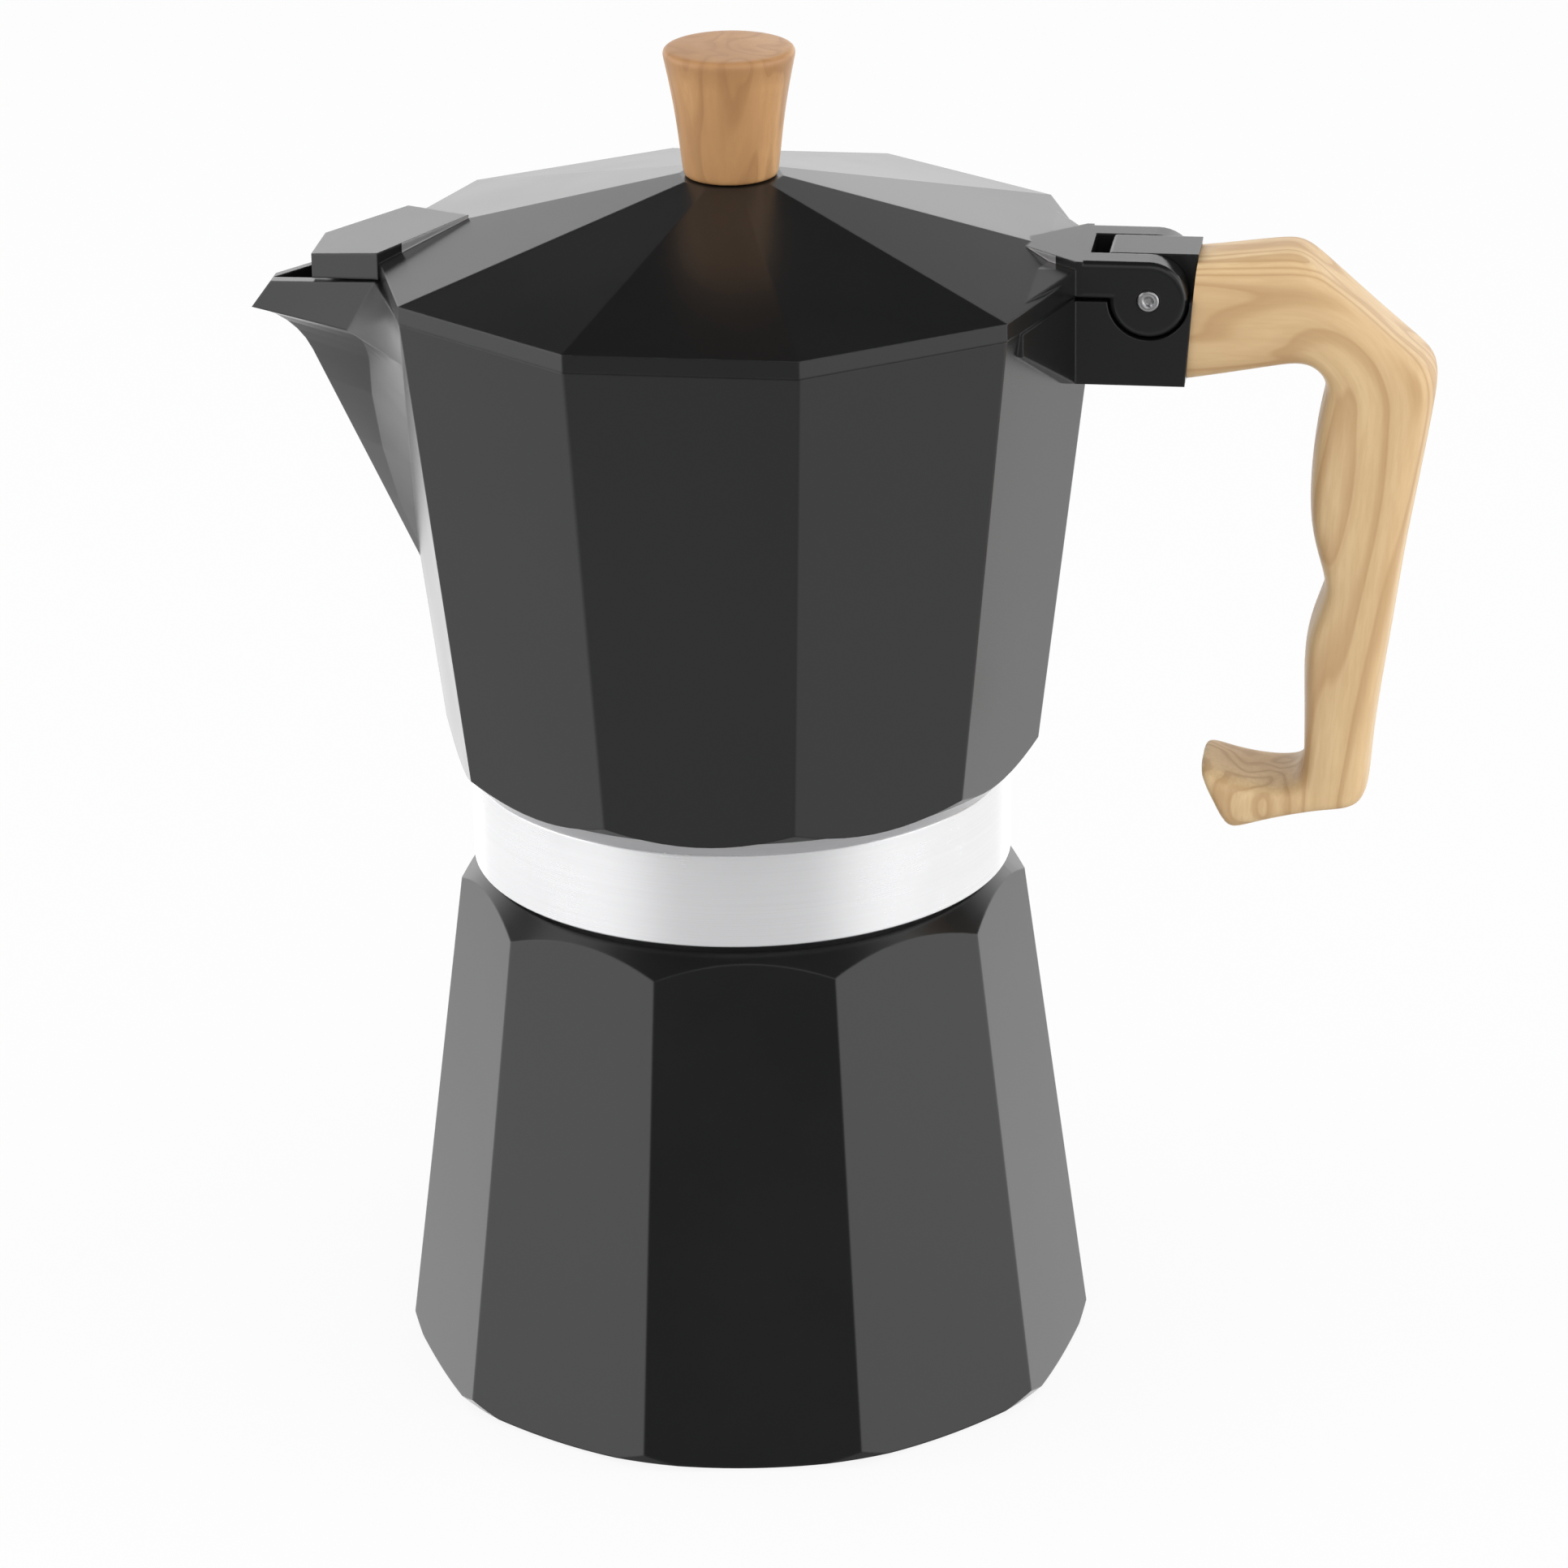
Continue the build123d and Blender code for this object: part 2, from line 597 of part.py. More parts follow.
def cover_top(drop):
    """Everything under the cover's sloping top, lowered by drop."""
    far = cover_end_x + 10
    near_z = cover_apex_z + (cover_apex_x - 20) * cover_slope - drop
    far_z = cover_apex_z - (far - cover_apex_x) * cover_slope - drop
    return slab([(-20, near_z), (-far, far_z), (-far, vessel_rim_z - 10), (-20, vessel_rim_z - 10)],
                vessel_rim_r)


def rim_slope():
    """Everything above the spout's sloping rim, with the cover's resting gap."""
    run = lip_drop_x - spout_shoulder_x
    fall = (vessel_rim_z - lip_drop_z) / run
    far = cover_end_x + 10
    low = vessel_rim_z + cover_rest - (far - spout_shoulder_x) * fall
    return slab([(0, vessel_rim_z + cover_rest), (-spout_shoulder_x, vessel_rim_z + cover_rest),
                 (-far, low), (-far, vessel_rim_z + 30), (0, vessel_rim_z + 30)], vessel_rim_r)


def hinge_slot():
    """The opening between the cheeks, where the vessel's tongue stands."""
    return slab([(bridge_in_x, pin_z - 10), (pin_x + 10, pin_z - 10), (pin_x + 10, pin_z + 10),
                 (bridge_in_x, pin_z + 10)], core_half + hinge_gap)


def lid_cheeks():
    """The two ears on the pin, the bridge between them and their spread root."""
    inside = vessel_rim_r - 10
    arm = slab([(bridge_out_x, pin_z), (pin_x, pin_z), (pin_x, hinge_top_z),
                (bridge_out_x, hinge_top_z)], hinge_half)
    eye = Pos(pin_x, 0, pin_z) * Rot(90, 0, 0) * Cylinder(cheek_r, 2 * hinge_half)
    block = arm + eye
    rims = [e for e in block.edges() if abs(abs(e.center().Y) - hinge_half) < 1e-3
            and e.center().Z > pin_z - 0.5 and e.center().X > bridge_out_x + 1]
    block = fillet(rims, cheek_round)
    root = plan(mirrored([(inside, 0), (inside - 0.4, 2.6), (bridge_out_x, hinge_half),
                          (bridge_out_x + 1, hinge_half), (bridge_out_x + 1, 0)]),
                vessel_rim_z + 0.2, hinge_top_z)
    flare = plan(mirrored([(inside - 4, 0), (inside + 1, gusset_y - 3), (bridge_out_x, hinge_half),
                           (bridge_out_x + 1, hinge_half), (bridge_out_x + 1, 0)]),
                 vessel_rim_z, lid_peak_z)
    ramp = extrude(Plane.YZ * make_face(Polyline(
        (-gusset_y, vessel_rim_z), (-gusset_y, vessel_rim_z + lid_rim_high),
        (-hinge_half, hinge_top_z - 1.2), (hinge_half, hinge_top_z - 1.2),
        (gusset_y, vessel_rim_z + lid_rim_high), (gusset_y, vessel_rim_z), close=True)),
        3 * vessel_rim_r, both=True)
    return block + root + (flare & ramp)


def lid():
    rim_z = vessel_rim_z + lid_rim_high
    body = lid_facets(vessel_rim_z, lid_r, rim_z, lid_peak_r, lid_peak_z)
    body += (plan(mirrored(cover_outline()), vessel_rim_z - 8, cover_apex_z + 4)
             & cover_top(0) & rim_slope())
    body = body + lid_cheeks() - hinge_slot()
    inner = lid_wall / cos(half_angle)
    room = lid_facets(vessel_rim_z - 1, lid_r - vessel_wall - 0.3, rim_z - lid_wall * 0.35,
                      lid_peak_r - inner, lid_peak_z - lid_wall - 0.4)
    room -= Pos(0, 0, lid_peak_z - boss_low) * Cylinder(
        boss_r, 2 * boss_low, align=(Align.CENTER, Align.CENTER, Align.MIN))
    body -= room & slab([(-lid_r, 0), (lid_r - 8, 0), (lid_r - 8, 300), (-lid_r, 300)], 100)
    channel = plan(mirrored(cover_outline(cover_wall)), vessel_rim_z - 8, cover_apex_z + 4)
    channel += plan([(-cover_end_x - 5, -cover_end_y + 1.1 * cover_wall),
                     (-cover_end_x + 0.1, -cover_end_y + 1.1 * cover_wall),
                     (-cover_end_x + 0.1, cover_end_y - 1.1 * cover_wall),
                     (-cover_end_x - 5, cover_end_y - 1.1 * cover_wall)],
                    vessel_rim_z - 8, cover_apex_z + 4)
    body -= channel & cover_top(cover_wall)
    body -= Pos(0, 0, lid_peak_z) * Cylinder(knob_screw_r + screw_play, 30)
    body -= rod(pin_r + pin_run, (pin_x, -2 * hinge_half, pin_z), (pin_x, 2 * hinge_half, pin_z))
    return body


# ---- knob ---------------------------------------------------------------------
def knob():
    z0, z1 = lid_peak_z, lid_peak_z + knob_high
    with BuildLine(Plane.XZ) as half:
        Line((0, z0), (knob_foot_r, z0))
        Spline((knob_foot_r, z0), (knob_waist_r, z0 + 6.5), (knob_top_r, z1 - knob_round - 0.9),
               tangents=[(0.0, 1), (0.35, 1)])
        Spline((knob_top_r, z1 - knob_round - 0.9), (knob_top_r - 0.9, z1 - 0.7), (0, z1),
               tangents=[(0.1, 1), (-1, 0)])
        Line((0, z1), (0, z0))
    body = revolve(make_face(half.line), Axis.Z)
    return body - Pos(0, 0, z0) * Cylinder(
        insert_r + press_gap, insert_high + press_gap, align=(Align.CENTER, Align.CENTER, Align.MIN))


def knob_insert():
    tube = Circle(insert_r) - Circle(knob_screw_r + press_gap)
    return Pos(0, 0, lid_peak_z) * extrude(tube, insert_high)


def knob_washer():
    ring = Circle(knob_washer_r) - Circle(knob_screw_r + screw_play)
    return Pos(0, 0, washer_low_z()) * extrude(ring, knob_washer_thick)


def washer_low_z():
    """The washer lies under the boss inside the lid."""
    return lid_peak_z - boss_low - knob_washer_thick


def knob_screw():
    low = washer_low_z()
    head = rod(screw_head_r, (0, 0, low - screw_head_high), (0, 0, low))
    slot = Pos(0, 0, low - screw_head_high) * Box(
        2.5 * screw_head_r, screw_slot, 2 * screw_slot_deep)
    shank = rod(knob_screw_r, (0, 0, low), (0, 0, lid_peak_z + insert_high - 1))
    return head - slot + shank


nodes = {
    "boiler": boiler, "valve_washer": valve_washer, "valve_body": valve_body,
    "valve_plunger": valve_plunger, "valve_spring": valve_spring, "valve_cap": valve_cap,
    "funnel": funnel, "basket_sieve": basket_sieve, "gasket": gasket,
    "filter_plate": filter_plate, "vessel": vessel, "riser_column": riser_column,
    "neck_band": neck_band, "handle": handle, "handle_screw": handle_screw,
    "hinge_pin": hinge_pin, "lid": lid, "knob": knob, "knob_insert": knob_insert,
    "knob_washer": knob_washer, "knob_screw": knob_screw,
}
for name, build in nodes.items():
    export_step(build(), f"parts/{name}.step")
    print("written", name)
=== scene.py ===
import bpy
import bmesh
import math
from mathutils import Matrix, Vector


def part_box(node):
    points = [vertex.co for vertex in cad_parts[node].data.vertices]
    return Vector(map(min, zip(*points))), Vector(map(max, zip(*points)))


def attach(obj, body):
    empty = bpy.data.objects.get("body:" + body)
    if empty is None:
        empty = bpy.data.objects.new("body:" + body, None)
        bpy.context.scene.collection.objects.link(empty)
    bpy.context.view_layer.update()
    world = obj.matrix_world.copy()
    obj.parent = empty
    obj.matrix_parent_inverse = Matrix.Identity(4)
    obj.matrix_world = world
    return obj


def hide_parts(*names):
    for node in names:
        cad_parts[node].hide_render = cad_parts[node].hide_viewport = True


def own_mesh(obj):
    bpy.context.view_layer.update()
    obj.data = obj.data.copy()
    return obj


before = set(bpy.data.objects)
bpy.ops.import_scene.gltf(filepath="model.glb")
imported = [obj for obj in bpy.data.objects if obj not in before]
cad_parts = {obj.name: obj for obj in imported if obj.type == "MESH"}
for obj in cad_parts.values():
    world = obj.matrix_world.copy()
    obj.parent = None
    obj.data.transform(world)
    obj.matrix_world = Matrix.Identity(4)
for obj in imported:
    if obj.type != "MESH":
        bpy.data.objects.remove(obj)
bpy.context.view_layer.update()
bpy.context.scene.view_settings.view_transform = "Standard"
print("frame loaded:", len(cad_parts), "nodes")

# where the paint stops on each casting, in metres along or across the pot's axis
pot = {"sides": 10, "neckFromZ": 0.079, "underBaseZ": 0.0001,
       "chamberFloor": (0.002, 0.009), "collarToZ": 0.0976, "jugInside": (-0.049, 0.0505),
       "lidInside": 0.0475, "bossRadius": 0.0066, "bossTopZ": 0.1835,
       "inwardLimit": -0.0005, "levelLimit": 0.3, "underLimit": -0.02}
pinCentre = (0.0613, 0.0, 0.1702)
mm = 0.001


# node tree helpers
def addNode(tree, kind, **settings):
    node = tree.nodes.new(kind)
    for key, value in settings.items():
        if key.startswith("in_"):
            socket = key[3:]
            socket = int(socket) if socket.isdigit() else socket.replace("_", " ")
            node.inputs[socket].default_value = value
        else:
            setattr(node, key, value)
    return node


def wire(tree, fromNode, fromSocket, toNode, toSocket):
    tree.links.new(fromNode.outputs[fromSocket], toNode.inputs[toSocket])


def mathNode(tree, operation, first, second=None, clamp=False):    # numbers or (node, socket) pairs
    node = addNode(tree, "ShaderNodeMath", operation=operation, use_clamp=clamp)
    for place, value in enumerate((first, second)):
        if value is None:
            continue
        if isinstance(value, tuple):
            wire(tree, value[0], value[1], node, place)
        else:
            node.inputs[place].default_value = value
    return node, 0


def ramp(tree, source, stops, easing="LINEAR"):
    node = addNode(tree, "ShaderNodeValToRGB")
    node.color_ramp.interpolation = easing
    elements = node.color_ramp.elements
    while len(elements) < len(stops):
        elements.new(0.5)
    for element, (place, value) in zip(elements, stops):
        element.position = place
        element.color = value if isinstance(value, tuple) else (value, value, value, 1)
    wire(tree, source[0], source[1], node, "Fac")
    return node, "Color"


def mixColour(tree, factor, first, second, blend="MIX"):
    node = addNode(tree, "ShaderNodeMix", data_type="RGBA", blend_type=blend)
    for place, value in ((0, factor), (6, first), (7, second)):
        if isinstance(value, tuple) and len(value) == 2:
            wire(tree, value[0], value[1], node, place)
        else:
            node.inputs[place].default_value = value
    return node, 2


def newGroup(name, inputs, outputs):
    group = bpy.data.node_groups.new(name, "ShaderNodeTree")
    for label, kind, value in inputs:
        socket = group.interface.new_socket(name=label, in_out="INPUT", socket_type=kind)
        if value is not None:
            socket.default_value = value
    for label, kind in outputs:
        group.interface.new_socket(name=label, in_out="OUTPUT", socket_type=kind)
    return group, group.nodes.new("NodeGroupInput"), group.nodes.new("NodeGroupOutput")


def useGroup(tree, group, **settings):
    node = addNode(tree, "ShaderNodeGroup", node_tree=group)
    for key, value in settings.items():
        node.inputs[key.replace("_", " ")].default_value = value
    return node


# effects that several finishes share
def buildEdgeWear():
    group, start, end = newGroup("edgeWear", [
        ("Radius", "NodeSocketFloat", 0.0004), ("Breakup Scale", "NodeSocketFloat", 300.0),
        ("Amount", "NodeSocketFloat", 1.0)], [("Mask", "NodeSocketFloat")])
    rounded = addNode(group, "ShaderNodeBevel", samples=4)
    wire(group, start, "Radius", rounded, "Radius")
    surface = addNode(group, "ShaderNodeNewGeometry")
    facing = addNode(group, "ShaderNodeVectorMath", operation="DOT_PRODUCT")
    wire(group, rounded, 0, facing, 0)
    wire(group, surface, "Normal", facing, 1)
    edge = mathNode(group, "SUBTRACT", 1.0, (facing, "Value"))
    place = addNode(group, "ShaderNodeTexCoord")
    patches = addNode(group, "ShaderNodeTexNoise", in_Detail=4.0)
    wire(group, place, "Object", patches, "Vector")
    wire(group, start, "Breakup Scale", patches, "Scale")
    broken = ramp(group, (patches, "Fac"), [(0.42, 0.0), (0.62, 1.0)])
    sharp = ramp(group, edge, [(0.015, 0.0), (0.12, 1.0)])
    both = mathNode(group, "MULTIPLY", broken, sharp)
    amount = mathNode(group, "MULTIPLY", both, (start, "Amount"), clamp=True)
    wire(group, amount[0], amount[1], end, "Mask")
    return group


def buildHandling():
    # faint smudges and dust that vary the gloss
    group, start, end = newGroup("handling", [
        ("Scale", "NodeSocketFloat", 30.0), ("Low", "NodeSocketFloat", 0.3),
        ("High", "NodeSocketFloat", 0.4)], [("Roughness", "NodeSocketFloat"), ("Mask", "NodeSocketFloat")])
    place = addNode(group, "ShaderNodeTexCoord")
    broad = addNode(group, "ShaderNodeTexNoise", in_Detail=5.0, in_Roughness=0.6)
    wire(group, place, "Object", broad, "Vector")
    wire(group, start, "Scale", broad, "Scale")
    mask = ramp(group, (broad, "Fac"), [(0.35, 0.0), (0.68, 1.0)], "EASE")
    spread = addNode(group, "ShaderNodeMapRange")
    wire(group, mask[0], mask[1], spread, "Value")
    wire(group, start, "Low", spread, "To Min")
    wire(group, start, "High", spread, "To Max")
    wire(group, spread, "Result", end, "Roughness")
    wire(group, mask[0], mask[1], end, "Mask")
    return group


def buildFineSkin():
    # orange peel and casting grain as one height
    group, start, end = newGroup("fineSkin", [
        ("Grain Scale", "NodeSocketFloat", 1500.0), ("Peel Scale", "NodeSocketFloat", 260.0),
        ("Peel", "NodeSocketFloat", 0.5)], [("Height", "NodeSocketFloat")])
    place = addNode(group, "ShaderNodeTexCoord")
    heights = []
    for label, detail in (("Grain Scale", 2.0), ("Peel Scale", 1.0)):
        noise = addNode(group, "ShaderNodeTexNoise", in_Detail=detail)
        wire(group, place, "Object", noise, "Vector")
        wire(group, start, label, noise, "Scale")
        heights.append((noise, "Fac"))
    peel = mathNode(group, "MULTIPLY", heights[1], (start, "Peel"))
    total = mathNode(group, "ADD", heights[0], peel)
    wire(group, total[0], total[1], end, "Height")
    return group


def buildTurnedLines():
    # fine rings left by a lathe or a polishing belt, round an axis along Z of the given vector
    group, start, end = newGroup("turnedLines", [
        ("Vector", "NodeSocketVector", None), ("Across", "NodeSocketFloat", 3000.0),
        ("Along", "NodeSocketFloat", 6.0), ("Rings", "NodeSocketFloat", 0.0)],
        [("Lines", "NodeSocketFloat")])
    parts = addNode(group, "ShaderNodeSeparateXYZ")
    wire(group, start, "Vector", parts, "Vector")
    angle = mathNode(group, "ARCTAN2", (parts, "Y"), (parts, "X"))
    square = [mathNode(group, "MULTIPLY", (parts, axis), (parts, axis)) for axis in "XY"]
    radius = mathNode(group, "SQRT", mathNode(group, "ADD", square[0], square[1]))
    onFlat = mathNode(group, "MULTIPLY", radius, (start, "Rings"))
    height = mathNode(group, "ADD", (parts, "Z"), onFlat)
    across = mathNode(group, "MULTIPLY", height, (start, "Across"))
    turn = mathNode(group, "COSINE", angle)
    side = mathNode(group, "SINE", angle)
    along = [mathNode(group, "MULTIPLY", value, (start, "Along")) for value in (turn, side)]
    joined = addNode(group, "ShaderNodeCombineXYZ")
    for socket, value in zip("XYZ", (along[0], along[1], across)):
        wire(group, value[0], value[1], joined, socket)
    lines = addNode(group, "ShaderNodeTexNoise", in_Scale=1.0, in_Detail=3.0)
    wire(group, joined, 0, lines, "Vector")
    wire(group, lines, "Fac", end, "Lines")
    return group


def buildWoodGrain():
    # X of the vector runs along the fibres; growth lines are the contours of a noise drawn out along them
    group, start, end = newGroup("woodGrain", [
        ("Vector", "NodeSocketVector", None), ("Stretch", "NodeSocketFloat", 12.0),
        ("Scale", "NodeSocketFloat", 110.0), ("Lines", "NodeSocketFloat", 6.0),
        ("Fibre Scale", "NodeSocketFloat", 1400.0)],
        [("Rings", "NodeSocketFloat"), ("Fibres", "NodeSocketFloat"), ("Figure", "NodeSocketFloat")])
    parts = addNode(group, "ShaderNodeSeparateXYZ")
    wire(group, start, "Vector", parts, "Vector")
    slow = mathNode(group, "DIVIDE", (parts, "X"), (start, "Stretch"))
    flow = addNode(group, "ShaderNodeCombineXYZ")
    wire(group, slow[0], slow[1], flow, "X")
    wire(group, parts, "Y", flow, "Y")
    wire(group, parts, "Z", flow, "Z")
    swell = addNode(group, "ShaderNodeTexNoise", in_Detail=1.5, in_Roughness=0.45, in_Distortion=0.35)
    wire(group, flow, 0, swell, "Vector")
    wire(group, start, "Scale", swell, "Scale")
    phase = mathNode(group, "MULTIPLY", (swell, "Fac"), (start, "Lines"))
    saw = mathNode(group, "FRACT", phase)
    soft = ramp(group, saw, [(0.0, 0.30), (0.25, 0.0), (0.50, 0.10), (0.80, 0.85), (0.90, 1.0), (1.0, 0.30)],
                "EASE")
    wire(group, soft[0], soft[1], end, "Rings")
    hair = addNode(group, "ShaderNodeTexNoise", in_Detail=3.0, in_Roughness=0.65)
    wire(group, flow, 0, hair, "Vector")
    wire(group, start, "Fibre Scale", hair, "Scale")
    wire(group, hair, "Fac", end, "Fibres")
    cloud = addNode(group, "ShaderNodeTexNoise", in_Scale=70.0, in_Detail=3.0, in_Distortion=0.5)
    wire(group, flow, 0, cloud, "Vector")
    figure = ramp(group, (cloud, "Fac"), [(0.36, 0.0), (0.66, 1.0)])
    wire(group, figure[0], figure[1], end, "Figure")
    return group


edgeWear, handling, fineSkin = buildEdgeWear(), buildHandling(), buildFineSkin()
turnedLines, woodGrain = buildTurnedLines(), buildWoodGrain()
print("shared effects built")


# finishes
def newFinish(name):
    finish = bpy.data.materials.new(name)
    finish.use_nodes = True
    tree = finish.node_tree
    shader = tree.nodes["Principled BSDF"]
    return finish, tree, shader


def bumpFrom(tree, height, strength, distance, normal=None):
    bump = addNode(tree, "ShaderNodeBump", in_Strength=strength, in_Distance=distance)
    wire(tree, height[0], height[1], bump, "Height")
    if normal:
        wire(tree, normal[0], normal[1], bump, "Normal")
    return bump, "Normal"


def roundedEdges(tree, radius):
    return addNode(tree, "ShaderNodeBevel", samples=4, in_Radius=radius), "Normal"


paintLook = {"base": (0.0088, 0.0090, 0.0092, 1), "thin": (0.0098, 0.0099, 0.0101, 1),
             "worn": (0.05, 0.05, 0.052, 1), "wornAmount": 0.30, "glossLow": 0.245, "glossHigh": 0.265,
             "grain": 2600.0, "peelScale": 420.0, "peel": 0.4, "bump": 0.05, "bumpHeight": 0.00006,
             "rounding": 0.0004, "bareLight": (0.70, 0.70, 0.71, 1), "bareDark": (0.50, 0.50, 0.51, 1),
             "bareMetallic": 0.72, "bareGloss": 0.34, "bareGlossSpread": 0.18}


def placeParts(tree, place):
    parts = addNode(tree, "ShaderNodeSeparateXYZ")
    wire(tree, place, "Object", parts, 0)
    return parts


def apothem(tree, parts):
    # distance from the axis square to the nearest of the ten flats, and straight from the axis
    angle = mathNode(tree, "ARCTAN2", (parts, "Y"), (parts, "X"))
    facet = math.tau / pot["sides"]
    turned = mathNode(tree, "ADD", angle, math.tau)
    folded = mathNode(tree, "SUBTRACT", mathNode(tree, "MODULO", turned, facet), facet / 2)
    square = [mathNode(tree, "MULTIPLY", (parts, axis), (parts, axis)) for axis in "XY"]
    radius = mathNode(tree, "SQRT", mathNode(tree, "ADD", square[0], square[1]))
    return mathNode(tree, "MULTIPLY", radius, mathNode(tree, "COSINE", folded)), radius


def between(tree, value, low, high):
    above = mathNode(tree, "GREATER_THAN", value, low)
    below = mathNode(tree, "LESS_THAN", value, high)
    return mathNode(tree, "MULTIPLY", above, below)


def inwardFaces(tree, place, parts):
    # 1 where the surface looks towards the pot's axis, by the piece's own normal, which turns as it moves
    across = addNode(tree, "ShaderNodeSeparateXYZ")
    wire(tree, place, "Normal", across, 0)
    terms = [mathNode(tree, "MULTIPLY", (across, axis), (parts, axis)) for axis in "XY"]
    inward = mathNode(tree, "LESS_THAN", mathNode(tree, "ADD", terms[0], terms[1]),
                      pot["inwardLimit"])
    return inward, across


def bareOnBoiler(tree, place):
    parts = placeParts(tree, place)
    inward, facing = inwardFaces(tree, place, parts)
    neck = mathNode(tree, "GREATER_THAN", (parts, "Z"), pot["neckFromZ"])
    base = mathNode(tree, "LESS_THAN", (parts, "Z"), pot["underBaseZ"])
    floor = mathNode(tree, "MULTIPLY", between(tree, (parts, "Z"), *pot["chamberFloor"]),
                     mathNode(tree, "GREATER_THAN", (facing, "Z"), pot["levelLimit"]))
    total = mathNode(tree, "ADD", mathNode(tree, "ADD", inward, neck), mathNode(tree, "ADD", base, floor))
    return mathNode(tree, "MINIMUM", total, 1.0)


def bareInVessel(tree, place):
    parts = placeParts(tree, place)
    inward, facing = inwardFaces(tree, place, parts)
    level = mathNode(tree, "GREATER_THAN", mathNode(tree, "ABSOLUTE", (facing, "Z")), pot["levelLimit"])
    low = mathNode(tree, "MULTIPLY", mathNode(tree, "LESS_THAN", (parts, "Z"), pot["collarToZ"]), level)
    inside = mathNode(tree, "MAXIMUM", inward, low)
    body = between(tree, (parts, "X"), *pot["jugInside"])
    return mathNode(tree, "MULTIPLY", inside, body)


def bareUnderLid(tree, place):
    parts = placeParts(tree, place)
    flat, radius = apothem(tree, parts)
    inward, facing = inwardFaces(tree, place, parts)
    under = mathNode(tree, "LESS_THAN", (facing, "Z"), pot["underLimit"])
    boss = mathNode(tree, "MULTIPLY", mathNode(tree, "LESS_THAN", radius, pot["bossRadius"]),
                    mathNode(tree, "LESS_THAN", (parts, "Z"), pot["bossTopZ"]))
    inside = mathNode(tree, "MAXIMUM", mathNode(tree, "MAXIMUM", under, inward), boss)
    body = mathNode(tree, "LESS_THAN", flat, pot["lidInside"])
    return mathNode(tree, "MULTIPLY", inside, body)


def paintedCasting(name, bareMask):
    finish, tree, shader = newFinish(name)
    place = addNode(tree, "ShaderNodeTexCoord")
    bare = bareMask(tree, place)
    wear = useGroup(tree, edgeWear, Radius=0.0003, Breakup_Scale=240.0, Amount=paintLook["wornAmount"])
    touch = useGroup(tree, handling, Scale=26.0, Low=paintLook["glossLow"], High=paintLook["glossHigh"])
    skin = useGroup(tree, fineSkin, Grain_Scale=paintLook["grain"], Peel_Scale=paintLook["peelScale"],
                    Peel=paintLook["peel"])
    tint = mixColour(tree, (touch, "Mask"), paintLook["base"], paintLook["thin"])
    painted = mixColour(tree, (wear, "Mask"), tint, paintLook["worn"])
    lathe = useGroup(tree, turnedLines, Across=4200.0, Along=2.0, Rings=1.0)
    wire(tree, place, "Object", lathe, "Vector")
    metal = mixColour(tree, (lathe, "Lines"), paintLook["bareDark"], paintLook["bareLight"])
    colour = mixColour(tree, bare, painted, metal)
    wire(tree, colour[0], colour[1], shader, "Base Color")
    metallic = mathNode(tree, "MULTIPLY", bare, paintLook["bareMetallic"])
    wire(tree, metallic[0], metallic[1], shader, "Metallic")
    metalGloss = mathNode(tree, "MULTIPLY", (lathe, "Lines"), paintLook["bareGlossSpread"])
    metalGloss = mathNode(tree, "ADD", metalGloss, paintLook["bareGloss"])
    gloss = addNode(tree, "ShaderNodeMix")
    wire(tree, bare[0], bare[1], gloss, 0)
    wire(tree, touch, "Roughness", gloss, 2)
    wire(tree, metalGloss[0], metalGloss[1], gloss, 3)
    wire(tree, gloss, 0, shader, "Roughness")
    skinHeight = mathNode(tree, "ADD", (skin, "Height"), mathNode(tree, "MULTIPLY", (lathe, "Lines"), bare))
    normal = bumpFrom(tree, skinHeight, paintLook["bump"], paintLook["bumpHeight"],
                      roundedEdges(tree, paintLook["rounding"]))
    wire(tree, normal[0], normal[1], shader, "Normal")
    shader.inputs["IOR"].default_value = 1.5
    return finish


metalLooks = {
    "brightBand": {"light": (0.88, 0.88, 0.89, 1), "dark": (0.76, 0.76, 0.77, 1), "gloss": (0.16, 0.10),
                   "across": 9000.0, "along": 1.2, "rings": 0.0, "bump": 0.05, "metallic": 0.6},
    "spunAluminium": {"light": (0.82, 0.82, 0.83, 1), "dark": (0.62, 0.62, 0.63, 1), "gloss": (0.25, 0.16),
                      "across": 3600.0, "along": 2.0, "rings": 1.0, "bump": 0.12},
    "turnedSteel": {"light": (0.66, 0.66, 0.67, 1), "dark": (0.45, 0.45, 0.46, 1), "gloss": (0.22, 0.14),
                    "across": 5200.0, "along": 2.0, "rings": 1.0, "bump": 0.10},
    "turnedBrass": {"light": (0.86, 0.62, 0.27, 1), "dark": (0.62, 0.41, 0.15, 1), "gloss": (0.20, 0.16),
                    "across": 4600.0, "along": 2.0, "rings": 1.0, "bump": 0.10}}


